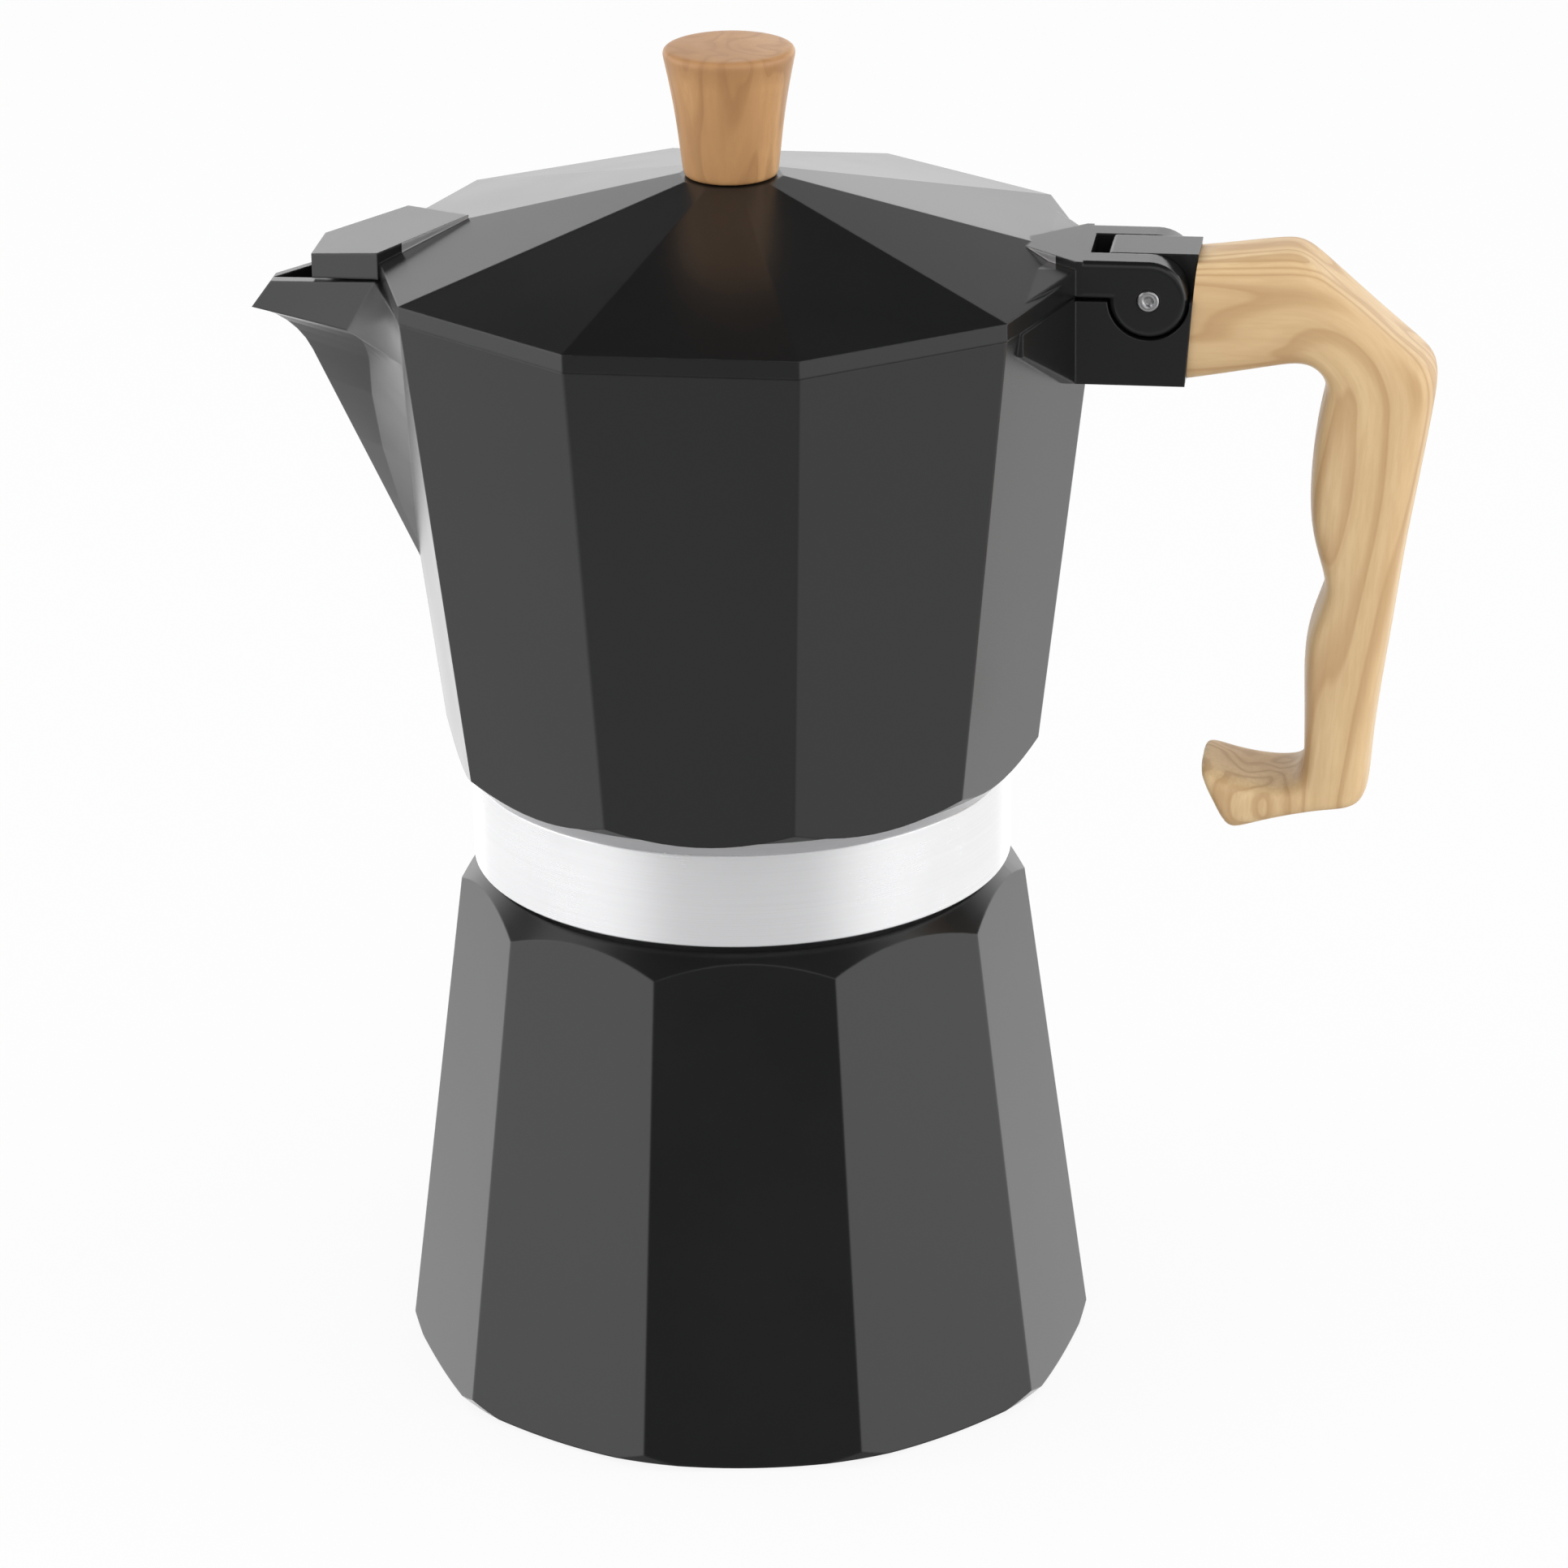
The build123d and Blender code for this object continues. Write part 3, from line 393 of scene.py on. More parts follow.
def turnedMetal(name, look, centre=(0, 0, 0), axis=(0, 0, 1)):
    finish, tree, shader = newFinish(name)
    place = addNode(tree, "ShaderNodeTexCoord")
    toAxis = Vector(axis).rotation_difference(Vector((0, 0, 1))).to_euler()
    centred = addNode(tree, "ShaderNodeMapping", vector_type="POINT")
    shift = -(toAxis.to_matrix() @ Vector(centre))
    centred.inputs["Location"].default_value = shift
    centred.inputs["Rotation"].default_value = toAxis
    wire(tree, place, "Object", centred, "Vector")
    lines = useGroup(tree, turnedLines, Across=look["across"], Along=look["along"], Rings=look["rings"])
    wire(tree, centred, 0, lines, "Vector")
    touch = useGroup(tree, handling, Scale=60.0, Low=0.0, High=0.08)
    wear = useGroup(tree, edgeWear, Radius=0.0003, Breakup_Scale=500.0, Amount=0.5)
    colour = mixColour(tree, (lines, "Lines"), look["dark"], look["light"])
    colour = mixColour(tree, (wear, "Mask"), colour, look["light"])
    wire(tree, colour[0], colour[1], shader, "Base Color")
    low, spread = look["gloss"]
    gloss = mathNode(tree, "ADD", mathNode(tree, "MULTIPLY", (lines, "Lines"), spread), low)
    gloss = mathNode(tree, "ADD", gloss, (touch, "Roughness"))
    wire(tree, gloss[0], gloss[1], shader, "Roughness")
    shader.inputs["Metallic"].default_value = look.get("metallic", 1.0)
    normal = bumpFrom(tree, (lines, "Lines"), look["bump"], 0.00005, roundedEdges(tree, 0.00025))
    wire(tree, normal[0], normal[1], shader, "Normal")
    return finish


woodLooks = {
    "handleWood": {"light": (0.76, 0.555, 0.30, 1), "middle": (0.60, 0.39, 0.19, 1),
                   "dark": (0.45, 0.245, 0.10, 1), "scale": 85.0, "stretch": 9.0, "lines": 9.0,
                   "lineAmount": 0.58, "fibreAmount": 0.40, "figure": 0.75, "gloss": (0.44, 0.56)},
    "knobWood": {"light": (0.80, 0.47, 0.205, 1), "middle": (0.56, 0.295, 0.12, 1),
                 "dark": (0.36, 0.175, 0.065, 1), "scale": 120.0, "stretch": 4.5, "lines": 6.0,
                 "lineAmount": 0.55, "fibreAmount": 0.40, "figure": 0.95, "gloss": (0.40, 0.52),
                 # the knob's last three entries: the height and fade where painted shade darkens the knob's
                 # top, and how far towards the dark wood colour
                 "shadedTopZ": 0.2034, "shadedTopFade": 0.0006, "paintedTopShade": 0.9}}


def woodFinish(name, look, attribute=None, turn=(0, 0, 0)):
    finish, tree, shader = newFinish(name)
    if attribute:
        source, socket = addNode(tree, "ShaderNodeAttribute", attribute_name=attribute), "Vector"
    else:
        source, socket = addNode(tree, "ShaderNodeTexCoord"), "Object"
    along = addNode(tree, "ShaderNodeMapping", vector_type="POINT")
    along.inputs["Rotation"].default_value = turn
    wire(tree, source, socket, along, "Vector")
    grain = useGroup(tree, woodGrain, Stretch=look["stretch"], Scale=look["scale"],
                     Lines=look["lines"], Fibre_Scale=1300.0)
    wire(tree, along, 0, grain, "Vector")
    lines = mathNode(tree, "MULTIPLY", (grain, "Rings"), look["lineAmount"])
    hair = mathNode(tree, "MULTIPLY", ramp(tree, (grain, "Fibres"), [(0.40, 0.0), (0.62, 1.0)]),
                    look["fibreAmount"])
    shade = mathNode(tree, "MULTIPLY", (grain, "Figure"), look["figure"])
    colour = mixColour(tree, shade, look["light"], look["middle"])
    colour = mixColour(tree, hair, colour, look["middle"])
    colour = mixColour(tree, lines, colour, look["dark"])
    if "shadedTopZ" in look:
        # painted shade: the knob's top is darkened towards the dark wood colour, as if less light fell on it
        # than on the sides
        height = addNode(tree, "ShaderNodeSeparateXYZ")
        wire(tree, source, socket, height, 0)
        fade = [(look["shadedTopZ"] - look["shadedTopFade"], 0.0), (look["shadedTopZ"], look["paintedTopShade"])]
        paintedTopShade = ramp(tree, (height, "Z"), fade)
        colour = mixColour(tree, paintedTopShade, colour, look["dark"])
    wire(tree, colour[0], colour[1], shader, "Base Color")
    touch = useGroup(tree, handling, Scale=40.0, Low=look["gloss"][0], High=look["gloss"][1])
    wire(tree, touch, "Roughness", shader, "Roughness")
    height = mathNode(tree, "SUBTRACT", (grain, "Fibres"), mathNode(tree, "MULTIPLY", lines, 0.6))
    normal = bumpFrom(tree, height, 0.18, 0.00012)
    wire(tree, normal[0], normal[1], shader, "Normal")
    shader.inputs["Coat Weight"].default_value = 0.06
    shader.inputs["Coat Roughness"].default_value = 0.35
    return finish


rubberLook = {"light": (0.74, 0.73, 0.69, 1), "dark": (0.60, 0.58, 0.53, 1)}


def siliconeRubber(name):
    finish, tree, shader = newFinish(name)
    touch = useGroup(tree, handling, Scale=70.0, Low=0.45, High=0.6)
    colour = mixColour(tree, (touch, "Mask"), rubberLook["light"], rubberLook["dark"])
    wire(tree, colour[0], colour[1], shader, "Base Color")
    wire(tree, touch, "Roughness", shader, "Roughness")
    skin = useGroup(tree, fineSkin, Grain_Scale=2400.0, Peel_Scale=300.0, Peel=1.0)
    normal = bumpFrom(tree, (skin, "Height"), 0.15, 0.00008, roundedEdges(tree, 0.0004))
    wire(tree, normal[0], normal[1], shader, "Normal")
    shader.inputs["Subsurface Weight"].default_value = 0.1
    shader.inputs["Subsurface Scale"].default_value = 0.001
    return finish


def dress(node, finish):
    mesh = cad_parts[node].data
    if not mesh.materials:
        mesh.materials.append(finish)
    for place in range(len(mesh.materials)):
        mesh.materials[place] = finish


valveAxis = Vector((-0.143667, 0.981805, 0.124171))
valveCentre = (sum(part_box("valve_washer"), Vector()) / 2)
dress("boiler", paintedCasting("boilerPaint", bareOnBoiler))
dress("vessel", paintedCasting("vesselPaint", bareInVessel))
dress("lid", paintedCasting("lidPaint", bareUnderLid))
dress("neck_band", turnedMetal("bandMetal", metalLooks["brightBand"]))
for node in ("funnel", "basket_sieve", "filter_plate", "riser_column"):
    dress(node, turnedMetal(node + "Metal", metalLooks["spunAluminium"]))
for node in ("knob_washer", "knob_screw"):
    dress(node, turnedMetal(node + "Steel", metalLooks["turnedSteel"]))
dress("knob_insert", turnedMetal("insertBrass", metalLooks["turnedBrass"]))
dress("handle_screw", turnedMetal("handleScrewSteel", metalLooks["turnedSteel"], (0.0736, 0, 0)))
for node in ("valve_body", "valve_cap"):
    dress(node, turnedMetal(node + "Brass", metalLooks["turnedBrass"], valveCentre, valveAxis))
for node in ("valve_washer", "valve_plunger"):
    dress(node, turnedMetal(node + "Steel", metalLooks["turnedSteel"], valveCentre, valveAxis))
print("finishes on the frame's nodes")


# wooden grip: outer and inner point of each section in x and z, from the hinge block round to the toe, in mm
grip = {"half": 8.8, "corner": 4.3, "step": 1.0,
        "sections": [((68.0, 174.9), (66.6, 157.0)), ((71.5, 175.3), (70.2, 157.6)),
                     ((79.0, 176.3), (79.2, 159.3)), ((82.7, 176.6), (82.4, 159.9)),
                     ((86.2, 173.5), (84.8, 159.5)), ((92.6, 167.7), (86.3, 158.0)),
                     ((99.4, 161.9), (86.4, 156.2)), ((102.8, 159.1), (86.1, 154.6)),
                     ((102.2, 154.0), (85.4, 151.4)), ((100.8, 145.5), (84.5, 144.5)),
                     ((98.9, 134.4), (84.3, 135.3)), ((98.2, 130.0), (86.4, 128.9)),
                     ((97.6, 125.5), (87.2, 125.3)), ((96.5, 117.6), (83.8, 118.2)),
                     ((95.3, 109.5), (84.1, 109.5)), ((94.3, 101.5), (84.2, 102.0)),
                     ((94.0, 96.5), (84.2, 98.2)), ((93.5, 92.2), (83.3, 95.8)),
                     ((89.0, 91.9), (80.4, 95.2)), ((83.5, 90.8), (77.5, 95.4)),
                     ((77.2, 88.9), (72.8, 96.6)), ((74.4, 87.7), (69.2, 98.1)),
                     ((72.7, 88.6), (68.9, 96.7))],
        "toeRounding": 0.8, "screwX": 73.6, "screwHole": 3.9, "drillSides": 42, "holeTopZ": 161.1,
        "holeDeep": 4.0}
# the bend of the grain through the wrist, in mm, and how far it leans in the upright, in degrees
grainBend = {"x": 81.4, "z": 154.5, "radius": 12.0, "lean": -4.8}


def selectWhere(mesh, test, mode="VERT"):
    # mesh is in edit mode; test reads one vertex, edge or face
    bpy.ops.mesh.select_mode(type=mode)
    bpy.ops.mesh.select_all(action="DESELECT")
    shape = bmesh.from_edit_mesh(mesh)
    parts = {"VERT": shape.verts, "EDGE": shape.edges, "FACE": shape.faces}[mode]
    for part in parts:
        part.select = test(part)
    shape.select_flush_mode()
    bmesh.update_edit_mesh(mesh)


def gripSections():
    # centre, width and tilt of each section, in metres and radians
    found = []
    for outer, inner in grip["sections"]:
        outer, inner = Vector((outer[0], 0, outer[1])) * mm, Vector((inner[0], 0, inner[1])) * mm
        across = outer - inner
        tilt = math.atan2(across.z, across.x)
        found.append(((outer + inner) / 2, across.length, tilt))
    return found


def buildGrip():
    bpy.ops.object.select_all(action="DESELECT")
    half, step, sections = grip["half"] * mm, grip["step"] * mm, gripSections()
    # a straight bar first: one ring of corners for each section, downwards from z = 0
    bpy.ops.mesh.primitive_cube_add(size=1, location=(0, 0, -step / 2),
                                    scale=(sections[0][1], 2 * half, step))
    piece = bpy.context.active_object
    piece.name = "handleGrip"
    bpy.ops.object.transform_apply(location=True, rotation=True, scale=True)
    bpy.ops.object.mode_set(mode="EDIT")
    mesh = piece.data
    selectWhere(mesh, lambda edge: abs(edge.verts[0].co.z - edge.verts[1].co.z) > step / 2, "EDGE")
    bpy.ops.mesh.bevel(offset=grip["corner"] * mm, segments=2, profile=0.5)
    selectWhere(mesh, lambda face: face.normal.z < -0.9, "FACE")
    bpy.ops.transform.resize(value=(sections[1][1] / sections[0][1], 1, 1), center_override=(0, 0, -step))
    for before, after in zip(sections[1:], sections[2:]):
        bpy.ops.mesh.extrude_region_move(TRANSFORM_OT_translate={"value": (0, 0, -step)})
        bpy.ops.transform.resize(value=(after[1] / before[1], 1, 1), center_override=(0, 0, 0))
    bpy.ops.transform.resize(value=(1, grip["toeRounding"], 1), center_override=(0, 0, 0))   # the toe closes
    levels = bmesh.from_edit_mesh(mesh).verts
    rings = [{vert.index for vert in levels if abs(vert.co.z + place * step) < step / 4}
             for place in range(len(sections))]
    # then each ring is carried to its place on the bent grip
    for place, (ring, (centre, _, tilt)) in enumerate(zip(rings, sections)):
        selectWhere(mesh, lambda vert: vert.index in ring)
        bpy.ops.transform.rotate(value=tilt, orient_axis="Y", center_override=(0, 0, -place * step))
        bpy.ops.transform.translate(value=centre + Vector((0, 0, place * step)))
    selectWhere(mesh, lambda edge: all(vert.index in rings[0] for vert in edge.verts), "EDGE")
    bpy.ops.transform.edge_crease(value=1.0)
    bpy.ops.mesh.select_all(action="SELECT")
    bpy.ops.mesh.normals_make_consistent(inside=False)
    bpy.ops.object.mode_set(mode="OBJECT")
    smooth = piece.modifiers.new("smoothGrip", "SUBSURF")
    smooth.levels = smooth.render_levels = 3
    bpy.ops.object.modifier_apply(modifier=smooth.name)
    return piece


def countersink(piece):
    # the hole under the wrist that the screw's head sits in
    top = grip["holeTopZ"] * mm
    deep = 2 * grip["holeDeep"] * mm
    bpy.ops.object.select_all(action="DESELECT")
    bpy.ops.mesh.primitive_cylinder_add(vertices=grip["drillSides"], radius=grip["screwHole"] * mm,
                                        depth=deep, location=(grip["screwX"] * mm, 0, top - deep / 2))
    drill = bpy.context.active_object
    bpy.context.view_layer.objects.active = piece
    cut = piece.modifiers.new("screwHole", "BOOLEAN")
    cut.operation, cut.object, cut.solver = "DIFFERENCE", drill, "EXACT"
    bpy.ops.object.modifier_apply(modifier=cut.name)
    bpy.data.objects.remove(drill)


def markGrain(piece, name):
    # the grain runs out along the wrist, round one bend and straight down through the heel
    # each point gets its distance along the grain, across it, and its place in the thickness
    centre, radius = Vector((grainBend["x"], 0, grainBend["z"])) * mm, grainBend["radius"] * mm
    lean = math.radians(grainBend["lean"])
    out, down = Vector((math.cos(lean), 0, math.sin(lean))), Vector((math.sin(lean), 0, -math.cos(lean)))
    flow = piece.data.attributes.new(name, "FLOAT_VECTOR", "POINT")
    for vert in piece.data.vertices:
        away = vert.co - centre
        turned = math.atan2(away.z, away.x)
        if turned > math.pi / 2:
            spot = (away.x, away.z - radius)
        elif turned < lean:
            spot = (radius * (math.pi / 2 - lean) + away.dot(down), away.dot(out) - radius)
        else:
            spot = (radius * (math.pi / 2 - turned), math.hypot(away.x, away.z) - radius)
        flow.data[vert.index].vector = (spot[0], spot[1], vert.co.y)


handleGrip = buildGrip()
countersink(handleGrip)
markGrain(handleGrip, "grainFlow")
handleGrip.select_set(True)
bpy.ops.object.shade_smooth_by_angle(angle=math.radians(50))
handleGrip.data.materials.append(woodFinish("gripOak", woodLooks["handleWood"], attribute="grainFlow"))
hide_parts("handle")
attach(handleGrip, "vessel")
print("grip modelled:", len(handleGrip.data.polygons), "faces")


# turned knob: height over the foot and radius of each ring, in mm
knobTurning = {"sides": 48,
               "rings": [(0.0, 6.4), (0.3, 6.85), (1.6, 7.05), (5.2, 7.45), (9.7, 8.0), (14.0, 8.75),
                         (17.4, 9.45), (18.4, 9.65), (18.95, 9.25), (19.05, 8.4), (19.1, 5.0)]}


def buildKnob():
    low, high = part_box("knob")
    first = knobTurning["rings"][0]
    bpy.ops.object.select_all(action="DESELECT")
    bpy.ops.mesh.primitive_circle_add(vertices=knobTurning["sides"], radius=first[1] * mm,
                                      location=(0, 0, low.z), fill_type="NGON")
    piece = bpy.context.active_object
    piece.name = "turnedKnob"
    bpy.ops.object.transform_apply(location=True, rotation=True, scale=True)
    bpy.ops.object.mode_set(mode="EDIT")
    bpy.ops.mesh.select_mode(type="FACE")
    bpy.ops.mesh.select_all(action="SELECT")
    for before, after in zip(knobTurning["rings"], knobTurning["rings"][1:]):
        rise, wider = (after[0] - before[0]) * mm, after[1] / before[1]
        bpy.ops.mesh.extrude_region_move(TRANSFORM_OT_translate={"value": (0, 0, rise)})
        bpy.ops.transform.resize(value=(wider, wider, 1), center_override=(0, 0, 0))
    bpy.ops.mesh.select_all(action="SELECT")
    bpy.ops.mesh.normals_make_consistent(inside=False)
    bpy.ops.object.mode_set(mode="OBJECT")
    smooth = piece.modifiers.new("smoothKnob", "SUBSURF")
    smooth.levels = smooth.render_levels = 2
    bpy.ops.object.modifier_apply(modifier=smooth.name)
    bpy.ops.object.shade_smooth_by_angle(angle=math.radians(60))
    return piece


turnedKnob = buildKnob()
turnedKnob.data.materials.append(woodFinish("knobOak", woodLooks["knobWood"], turn=(0, math.pi / 2, 0)))
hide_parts("knob")
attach(turnedKnob, "lid")
print("knob turned")


pin = {"sides": 48, "rim": 0.35, "dimpleRim": 0.95, "dimpleStep": 0.25, "dimpleDeep": 0.35,
       "dimpleShares": (0.4, 1.0)}


def buildPin():
    # the pin's size and place are its node's, with eased rims and a small dimple in each end
    low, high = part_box("hinge_pin")
    centre, radius, length = (low + high) / 2, (high.x - low.x) / 2, high.y - low.y
    bpy.ops.object.select_all(action="DESELECT")
    bpy.ops.mesh.primitive_cylinder_add(vertices=pin["sides"], radius=radius, depth=length,
                                        location=centre, rotation=(math.pi / 2, 0, 0))
    piece = bpy.context.active_object
    piece.name = "rivetedPin"
    bpy.ops.object.transform_apply(location=True, rotation=True, scale=True)
    bpy.ops.object.mode_set(mode="EDIT")
    mesh = piece.data
    atEnd = 1e-5
    selectWhere(mesh, lambda edge: abs(abs(edge.verts[0].co.y + edge.verts[1].co.y) - length) < 2 * atEnd,
                "EDGE")
    bpy.ops.mesh.bevel(offset=pin["rim"] * mm, segments=4, profile=0.5)
    selectWhere(mesh, lambda face: abs(face.normal.y) > 0.99, "FACE")
    bpy.ops.mesh.inset(thickness=(radius / mm - pin["rim"] - pin["dimpleRim"]) * mm)
    for deep in pin["dimpleShares"]:
        bpy.ops.mesh.inset(thickness=pin["dimpleStep"] * mm)
        shrink = 1 - 2 * pin["dimpleDeep"] * mm * deep / length
        bpy.ops.transform.resize(value=(1, shrink, 1), center_override=centre)
    bpy.ops.object.mode_set(mode="OBJECT")
    bpy.ops.object.shade_smooth_by_angle(angle=math.radians(40))
    return piece


rivetedPin = buildPin()
rivetedPin.data.materials.append(turnedMetal("pinSteel", metalLooks["turnedSteel"], pinCentre, (0, 1, 0)))
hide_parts("hinge_pin")
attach(rivetedPin, "vessel")
print("pin modelled")


# screw threads in mm: root radius, how far the ridge stands (inwards if negative), first height, turns
threads = {"pitch": 3.0, "base": 1.5, "crest": 0.3, "sunk": 0.25, "steps": 72,
           "neckThread": {"root": 35.3, "stands": 1.0, "fromZ": 81.0, "turns": 2, "body": "boiler"},
           "collarThread": {"root": 36.9, "stands": -1.0, "fromZ": 82.5, "turns": 2, "body": "vessel"}}


def buildThread(name, thread):
    outward = math.copysign(1, thread["stands"])
    high = abs(thread["stands"]) + threads["sunk"]
    middle = thread["root"] + outward * (high / 2 - threads["sunk"])
    bpy.ops.object.select_all(action="DESELECT")
    bpy.ops.mesh.primitive_plane_add(size=1, location=(middle * mm, 0, thread["fromZ"] * mm),
                                     rotation=(math.pi / 2, 0, 0))
    piece = bpy.context.active_object
    piece.name = name
    piece.scale = (high * mm, threads["base"] * mm, 1)
    bpy.ops.object.transform_apply(location=True, rotation=True, scale=True)
    bpy.ops.object.mode_set(mode="EDIT")
    mesh = piece.data
    selectWhere(mesh, lambda vert: (vert.co.x / mm - middle) * outward > 0)
    bpy.ops.transform.resize(value=(1, 1, threads["crest"]), center_override=(0, 0, thread["fromZ"] * mm))
    bpy.ops.object.mode_set(mode="OBJECT")
    helix = piece.modifiers.new("helix", "SCREW")
    helix.axis, helix.angle, helix.screw_offset = "Z", math.tau, threads["pitch"] * mm
    helix.iterations, helix.steps, helix.render_steps = thread["turns"], threads["steps"], threads["steps"]
    helix.use_merge_vertices = False
    bpy.ops.object.modifier_apply(modifier=helix.name)
    bpy.ops.object.mode_set(mode="EDIT")
    bpy.ops.mesh.select_all(action="SELECT")
    bpy.ops.mesh.remove_doubles(threshold=1e-6)
    bpy.ops.mesh.fill_holes(sides=4)
    bpy.ops.mesh.select_all(action="SELECT")
    bpy.ops.mesh.normals_make_consistent(inside=False)
    bpy.ops.object.mode_set(mode="OBJECT")
    bpy.ops.object.shade_smooth_by_angle(angle=math.radians(35))
    piece.data.materials.append(turnedMetal(name + "Metal", metalLooks["spunAluminium"]))
    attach(piece, thread["body"])
    return piece


for threadName in ("neckThread", "collarThread"):
    buildThread(threadName, threads[threadName])
print("threads cut")


# return spring of the safety valve
spring = {"turns": 6, "wireSides": 12, "stepsPerTurn": 24}


def buildSpring():
    # a wire ring swept up a helix as long and wide as the frame's coil, then laid along the valve's axis
    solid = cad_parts["valve_spring"].data.vertices
    heights = [(corner.co - valveCentre).dot(valveAxis) for corner in solid]
    spread = [((corner.co - valveCentre) - valveAxis * high).length for corner, high in zip(solid, heights)]
    inner, outer = min(spread), max(spread)
    wireRadius, coilRadius = (outer - inner) / 2, (outer + inner) / 2
    low, high = min(heights), max(heights)
    bpy.ops.object.select_all(action="DESELECT")
    bpy.ops.mesh.primitive_circle_add(vertices=spring["wireSides"], radius=wireRadius,
                                      location=(coilRadius, 0, low + wireRadius),
                                      rotation=(math.pi / 2, 0, 0), fill_type="NGON")
    piece = bpy.context.active_object
    piece.name = "coiledSpring"
    bpy.ops.object.transform_apply(location=True, rotation=True, scale=True)
    coil = piece.modifiers.new("coil", "SCREW")
    coil.axis, coil.angle = "Z", 2 * math.pi * spring["turns"]
    coil.screw_offset = high - low - 2 * wireRadius
    coil.steps = coil.render_steps = spring["turns"] * spring["stepsPerTurn"]
    bpy.ops.object.modifier_apply(modifier=coil.name)
    bpy.ops.object.mode_set(mode="EDIT")
    bpy.ops.mesh.select_all(action="SELECT")
    bpy.ops.mesh.remove_doubles(threshold=1e-6)
    bpy.ops.mesh.fill_holes(sides=spring["wireSides"])
    bpy.ops.mesh.normals_make_consistent(inside=False)
    bpy.ops.object.mode_set(mode="OBJECT")
    piece.rotation_euler = valveAxis.to_track_quat("Z", "Y").to_euler()
    piece.location = valveCentre
    bpy.ops.object.transform_apply(location=True, rotation=True, scale=True)
    bpy.ops.object.shade_smooth_by_angle(angle=math.radians(50))
    return piece, high - low, valveCentre + valveAxis * high


coiledSpring, springLength, springHeel = buildSpring()
springSteel = turnedMetal("springSteel", metalLooks["turnedSteel"], valveCentre, valveAxis)
coiledSpring.data.materials.append(springSteel)
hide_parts("valve_spring")
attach(coiledSpring, "boiler")
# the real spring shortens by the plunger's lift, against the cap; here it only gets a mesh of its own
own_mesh(coiledSpring)
print("spring coiled:", round(springLength * 1000, 2), "mm")


seal = {"sides": 128, "bore": 27.5, "soft": 0.6}


def buildSeal():
    low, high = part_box("gasket")
    outer, thick = (high.x - low.x) / 2, high.z - low.z
    bpy.ops.object.select_all(action="DESELECT")
    bpy.ops.mesh.primitive_cylinder_add(vertices=seal["sides"], radius=outer, depth=thick,
                                        location=(0, 0, (low.z + high.z) / 2))
    piece = bpy.context.active_object
    piece.name = "roundedSeal"
    bpy.ops.object.transform_apply(location=True, rotation=True, scale=True)
    bpy.ops.object.mode_set(mode="EDIT")
    mesh = piece.data
    selectWhere(mesh, lambda face: abs(face.normal.z) > 0.99, "FACE")
    bpy.ops.mesh.inset(thickness=outer - seal["bore"] * mm)
    bpy.ops.mesh.delete(type="ONLY_FACE")
    selectWhere(mesh, lambda edge: edge.is_boundary, "EDGE")
    bpy.ops.mesh.bridge_edge_loops()
    selectWhere(mesh, lambda edge: abs(edge.verts[0].co.z - edge.verts[1].co.z) < 1e-6 and
                edge.calc_face_angle(0.0) > 1.0, "EDGE")
    bpy.ops.mesh.bevel(offset=seal["soft"] * mm, segments=4, profile=0.5)
    bpy.ops.mesh.select_all(action="SELECT")
    bpy.ops.mesh.normals_make_consistent(inside=False)
    bpy.ops.object.mode_set(mode="OBJECT")
    bpy.ops.object.shade_smooth_by_angle(angle=math.radians(40))
    return piece


roundedSeal = buildSeal()
roundedSeal.data.materials.append(siliconeRubber("sealRubber"))
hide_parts("gasket")
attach(roundedSeal, "seal_stack")
print("seal modelled")


# floor, light and camera
# ramp stops: share of the half turn from the front, or (1 + sine of elevation) / 2, and level
studio = {"floorSize": 6.0, "floorColour": (0.80, 0.80, 0.80, 1), "floorGlow": 0.90,
          "ambient": (0.86, 0.86, 0.87, 1), "backdrop": (0.985, 0.985, 0.985, 1), "frontAzimuth": 8.5,
          "mirroredLow": [(0.0, 0.54), (0.13, 0.56), (0.30, 0.92), (0.50, 0.86), (0.78, 1.08), (0.90, 1.8),
                          (1.0, 2.0)],
          "mirroredFloor": (0.28, 0.28, 0.28, 1), "floorToLow": [(0.09, 0.0), (0.18, 1.0)],
          "mirroredMiddle": [(0.0, 0.0), (0.16, 0.12), (0.38, 1.9), (0.55, 1.7), (0.78, 0.95), (1.0, 1.0)],
          "mirroredHigh": [(0.0, 0.3), (0.5, 1.0), (0.7, 1.7), (1.0, 1.75)],
          "mirroredTop": (0.0, 0.0, 0.0, 1),
          "lowToMiddle": [(0.305, 0.0), (0.375, 1.0)], "middleToHigh": [(0.42, 0.0), (0.50, 1.0)],
          "highToTop": [(0.62, 0.0), (0.76, 1.0)]}


def buildFloor():
    bpy.ops.object.select_all(action="DESELECT")
    bpy.ops.mesh.primitive_plane_add(size=studio["floorSize"], location=(0, 0, 0))
    floor = bpy.context.active_object
    floor.name = "studioFloor"
    finish, tree, shader = newFinish("floorPaper")
    tree.nodes.remove(shader)
    output = tree.nodes["Material Output"]
    paper = addNode(tree, "ShaderNodeBsdfDiffuse", in_Color=studio["floorColour"])
    bright = addNode(tree, "ShaderNodeEmission", in_Color=(1, 1, 1, 1), in_Strength=1.0)
    path = addNode(tree, "ShaderNodeLightPath")
    seen = addNode(tree, "ShaderNodeMixShader")
    share = mathNode(tree, "MULTIPLY", (path, "Is Camera Ray"), studio["floorGlow"])
    wire(tree, share[0], share[1], seen, 0)
    wire(tree, paper, 0, seen, 1)
    wire(tree, bright, 0, seen, 2)
    wire(tree, seen, 0, output, "Surface")
    floor.data.materials.append(finish)
    floor.visible_glossy = False      # reflections see the studio's soft boxes below the horizon too


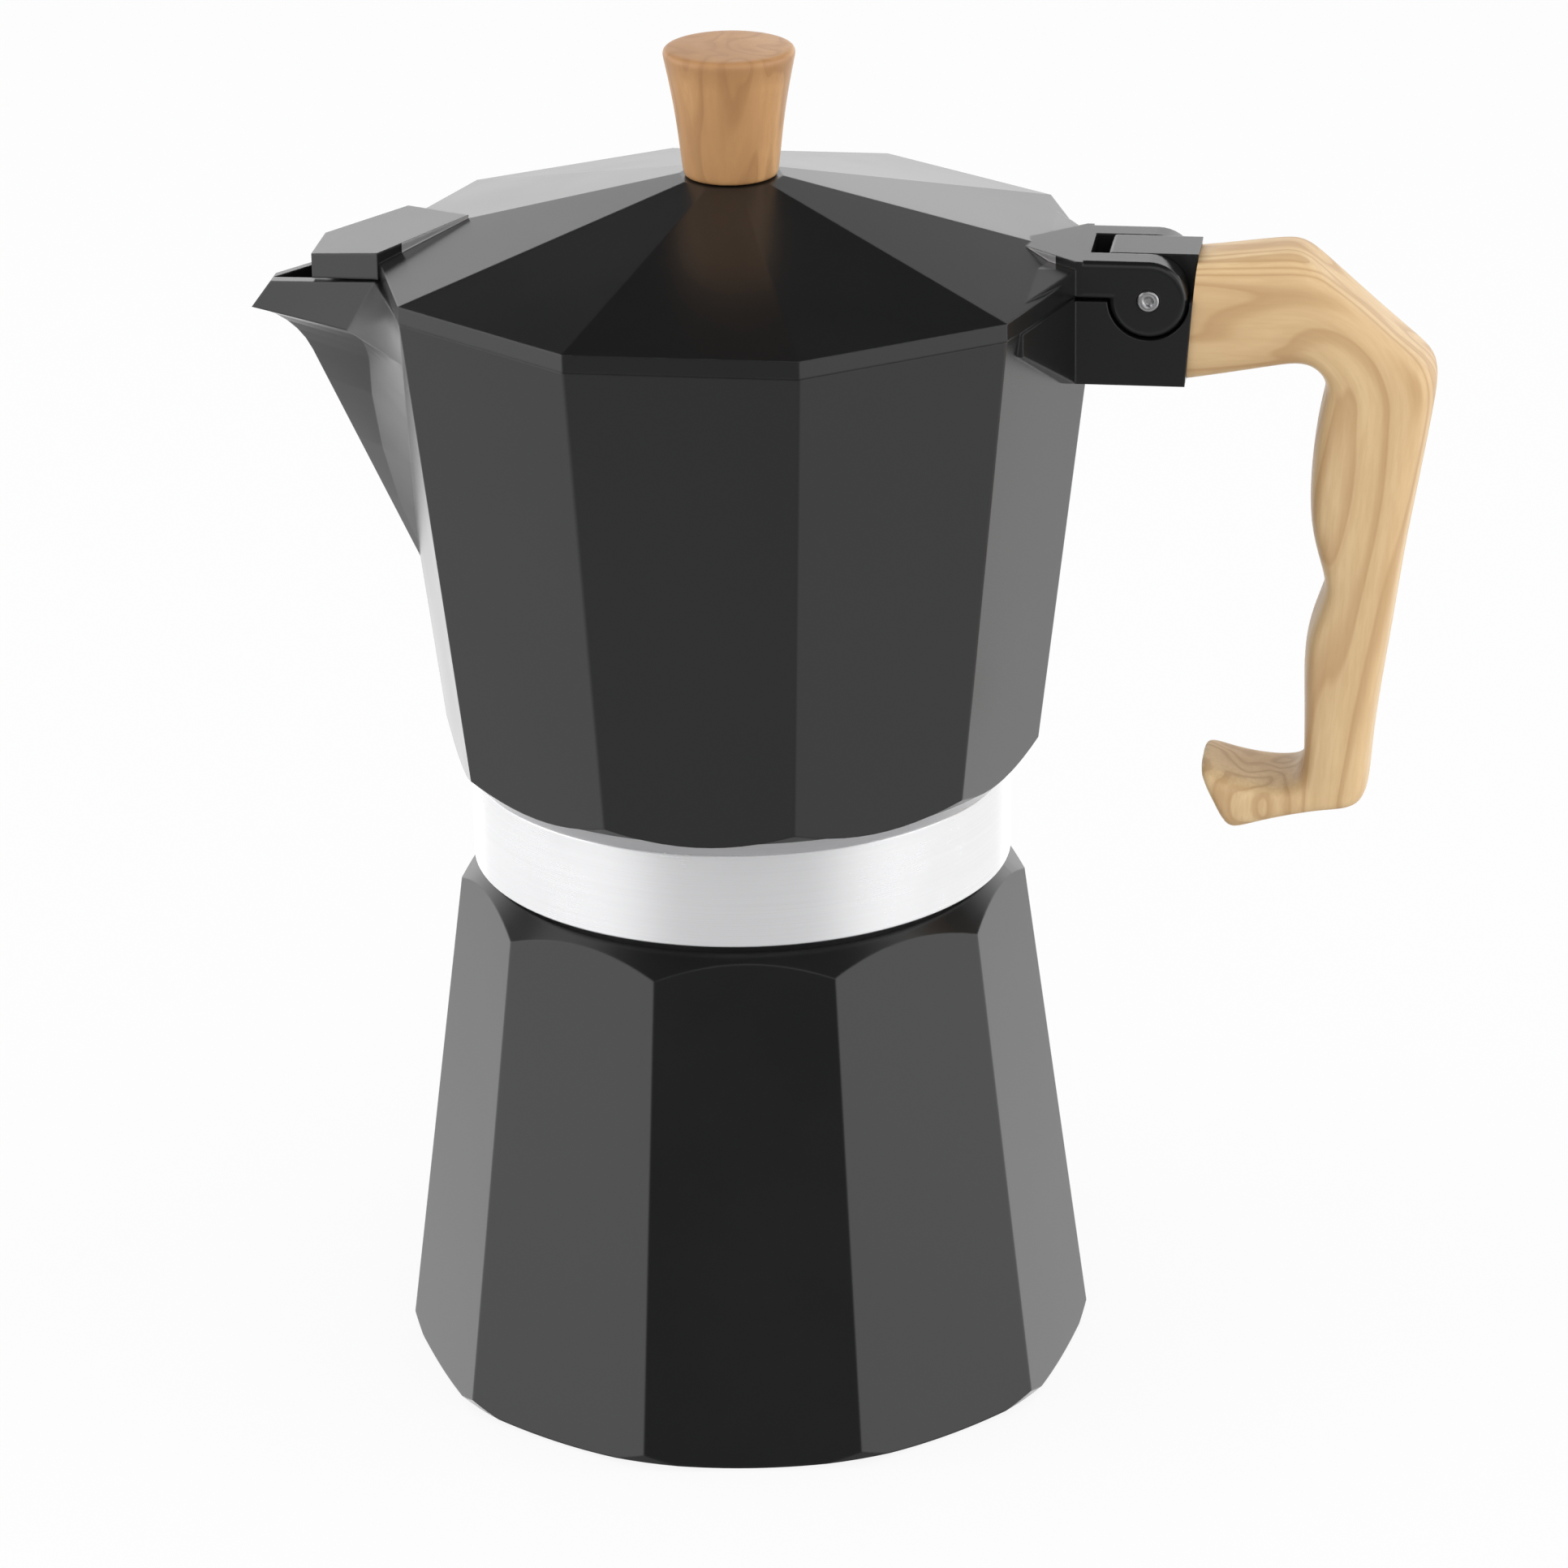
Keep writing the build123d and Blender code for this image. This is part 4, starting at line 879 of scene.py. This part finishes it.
def turnedFrom(tree, parts, azimuth):
    # 0 towards the given azimuth, 1 opposite it, measured round the pot
    east, north = math.sin(math.radians(azimuth)), -math.cos(math.radians(azimuth))
    ahead = mathNode(tree, "ADD", mathNode(tree, "MULTIPLY", (parts, "X"), east),
                     mathNode(tree, "MULTIPLY", (parts, "Y"), north))
    beside = mathNode(tree, "SUBTRACT", mathNode(tree, "MULTIPLY", (parts, "X"), -north),
                      mathNode(tree, "MULTIPLY", (parts, "Y"), -east))
    angle = mathNode(tree, "ARCTAN2", beside, ahead)
    return mathNode(tree, "DIVIDE", mathNode(tree, "ABSOLUTE", angle), math.pi)


def buildWorld():
    # what polished faces mirror: dark in front, soft boxes low at the sides, pale behind, dark above
    world = bpy.data.worlds.new("studioWorld")
    bpy.context.scene.world = world
    world.use_nodes = True
    tree = world.node_tree
    background = tree.nodes["Background"]
    place = addNode(tree, "ShaderNodeTexCoord")
    parts = addNode(tree, "ShaderNodeSeparateXYZ")
    wire(tree, place, "Generated", parts, 0)
    aroundFront = turnedFrom(tree, parts, studio["frontAzimuth"])
    low = ramp(tree, aroundFront, studio["mirroredLow"], "EASE")
    middle = ramp(tree, aroundFront, studio["mirroredMiddle"], "EASE")
    height = mathNode(tree, "ADD", mathNode(tree, "MULTIPLY", (parts, "Z"), 0.5), 0.5)
    low = mixColour(tree, ramp(tree, height, studio["floorToLow"], "EASE"), studio["mirroredFloor"], low)
    lift = ramp(tree, height, studio["lowToMiddle"], "EASE")
    mirrored = mixColour(tree, lift, low, middle)
    high = ramp(tree, aroundFront, studio["mirroredHigh"], "EASE")
    mirrored = mixColour(tree, ramp(tree, height, studio["middleToHigh"], "EASE"), mirrored, high)
    toTop = ramp(tree, height, studio["highToTop"], "EASE")
    mirrored = mixColour(tree, toTop, mirrored, studio["mirroredTop"])
    path = addNode(tree, "ShaderNodeLightPath")
    colour = mixColour(tree, (path, "Is Glossy Ray"), studio["ambient"], mirrored)
    colour = mixColour(tree, (path, "Is Camera Ray"), colour, studio["backdrop"])
    wire(tree, colour[0], colour[1], background, "Color")
    background.inputs["Strength"].default_value = 1.0


lamps = {"frontSoft": {"azimuth": 20, "elevation": 38, "far": 1.6, "size": (1.4, 0.9), "watts": 4.0},
         "leftSoft": {"azimuth": -75, "elevation": 25, "far": 1.3, "size": (1.0, 1.2), "watts": 5.0},
         "rightSoft": {"azimuth": 85, "elevation": 25, "far": 1.3, "size": (1.0, 1.2), "watts": 5.0}}


def buildLamps():
    aim = Vector((0, 0, 0.1))
    for name, lamp in lamps.items():
        turn, lift = math.radians(lamp["azimuth"]), math.radians(lamp["elevation"])
        back = Vector((math.sin(turn) * math.cos(lift), -math.cos(turn) * math.cos(lift), math.sin(lift)))
        bpy.ops.object.light_add(type="AREA", location=aim + back * lamp["far"])
        light = bpy.context.active_object
        light.name = name
        light.rotation_euler = back.to_track_quat("Z", "Y").to_euler()
        light.data.shape = "RECTANGLE"
        light.data.size, light.data.size_y = lamp["size"]
        light.data.energy = lamp["watts"]


shot = {"from": (0.1334, -0.8956, 0.4529), "at": (0.00627, 0.00089, 0.08958), "lens": 149.32,
        "roll": -0.01497}


def buildCamera():
    bpy.ops.object.camera_add(location=shot["from"])
    camera = bpy.context.active_object
    camera.name = "shotCamera"
    look = (Vector(shot["at"]) - Vector(shot["from"])).to_track_quat("-Z", "Y").to_matrix()
    camera.rotation_euler = (look @ Matrix.Rotation(shot["roll"], 3, "Z")).to_euler()
    camera.data.lens = shot["lens"]
    camera.data.sensor_width = 36.0
    bpy.context.scene.camera = camera


buildFloor()
buildWorld()
buildLamps()
buildCamera()
print("studio built")
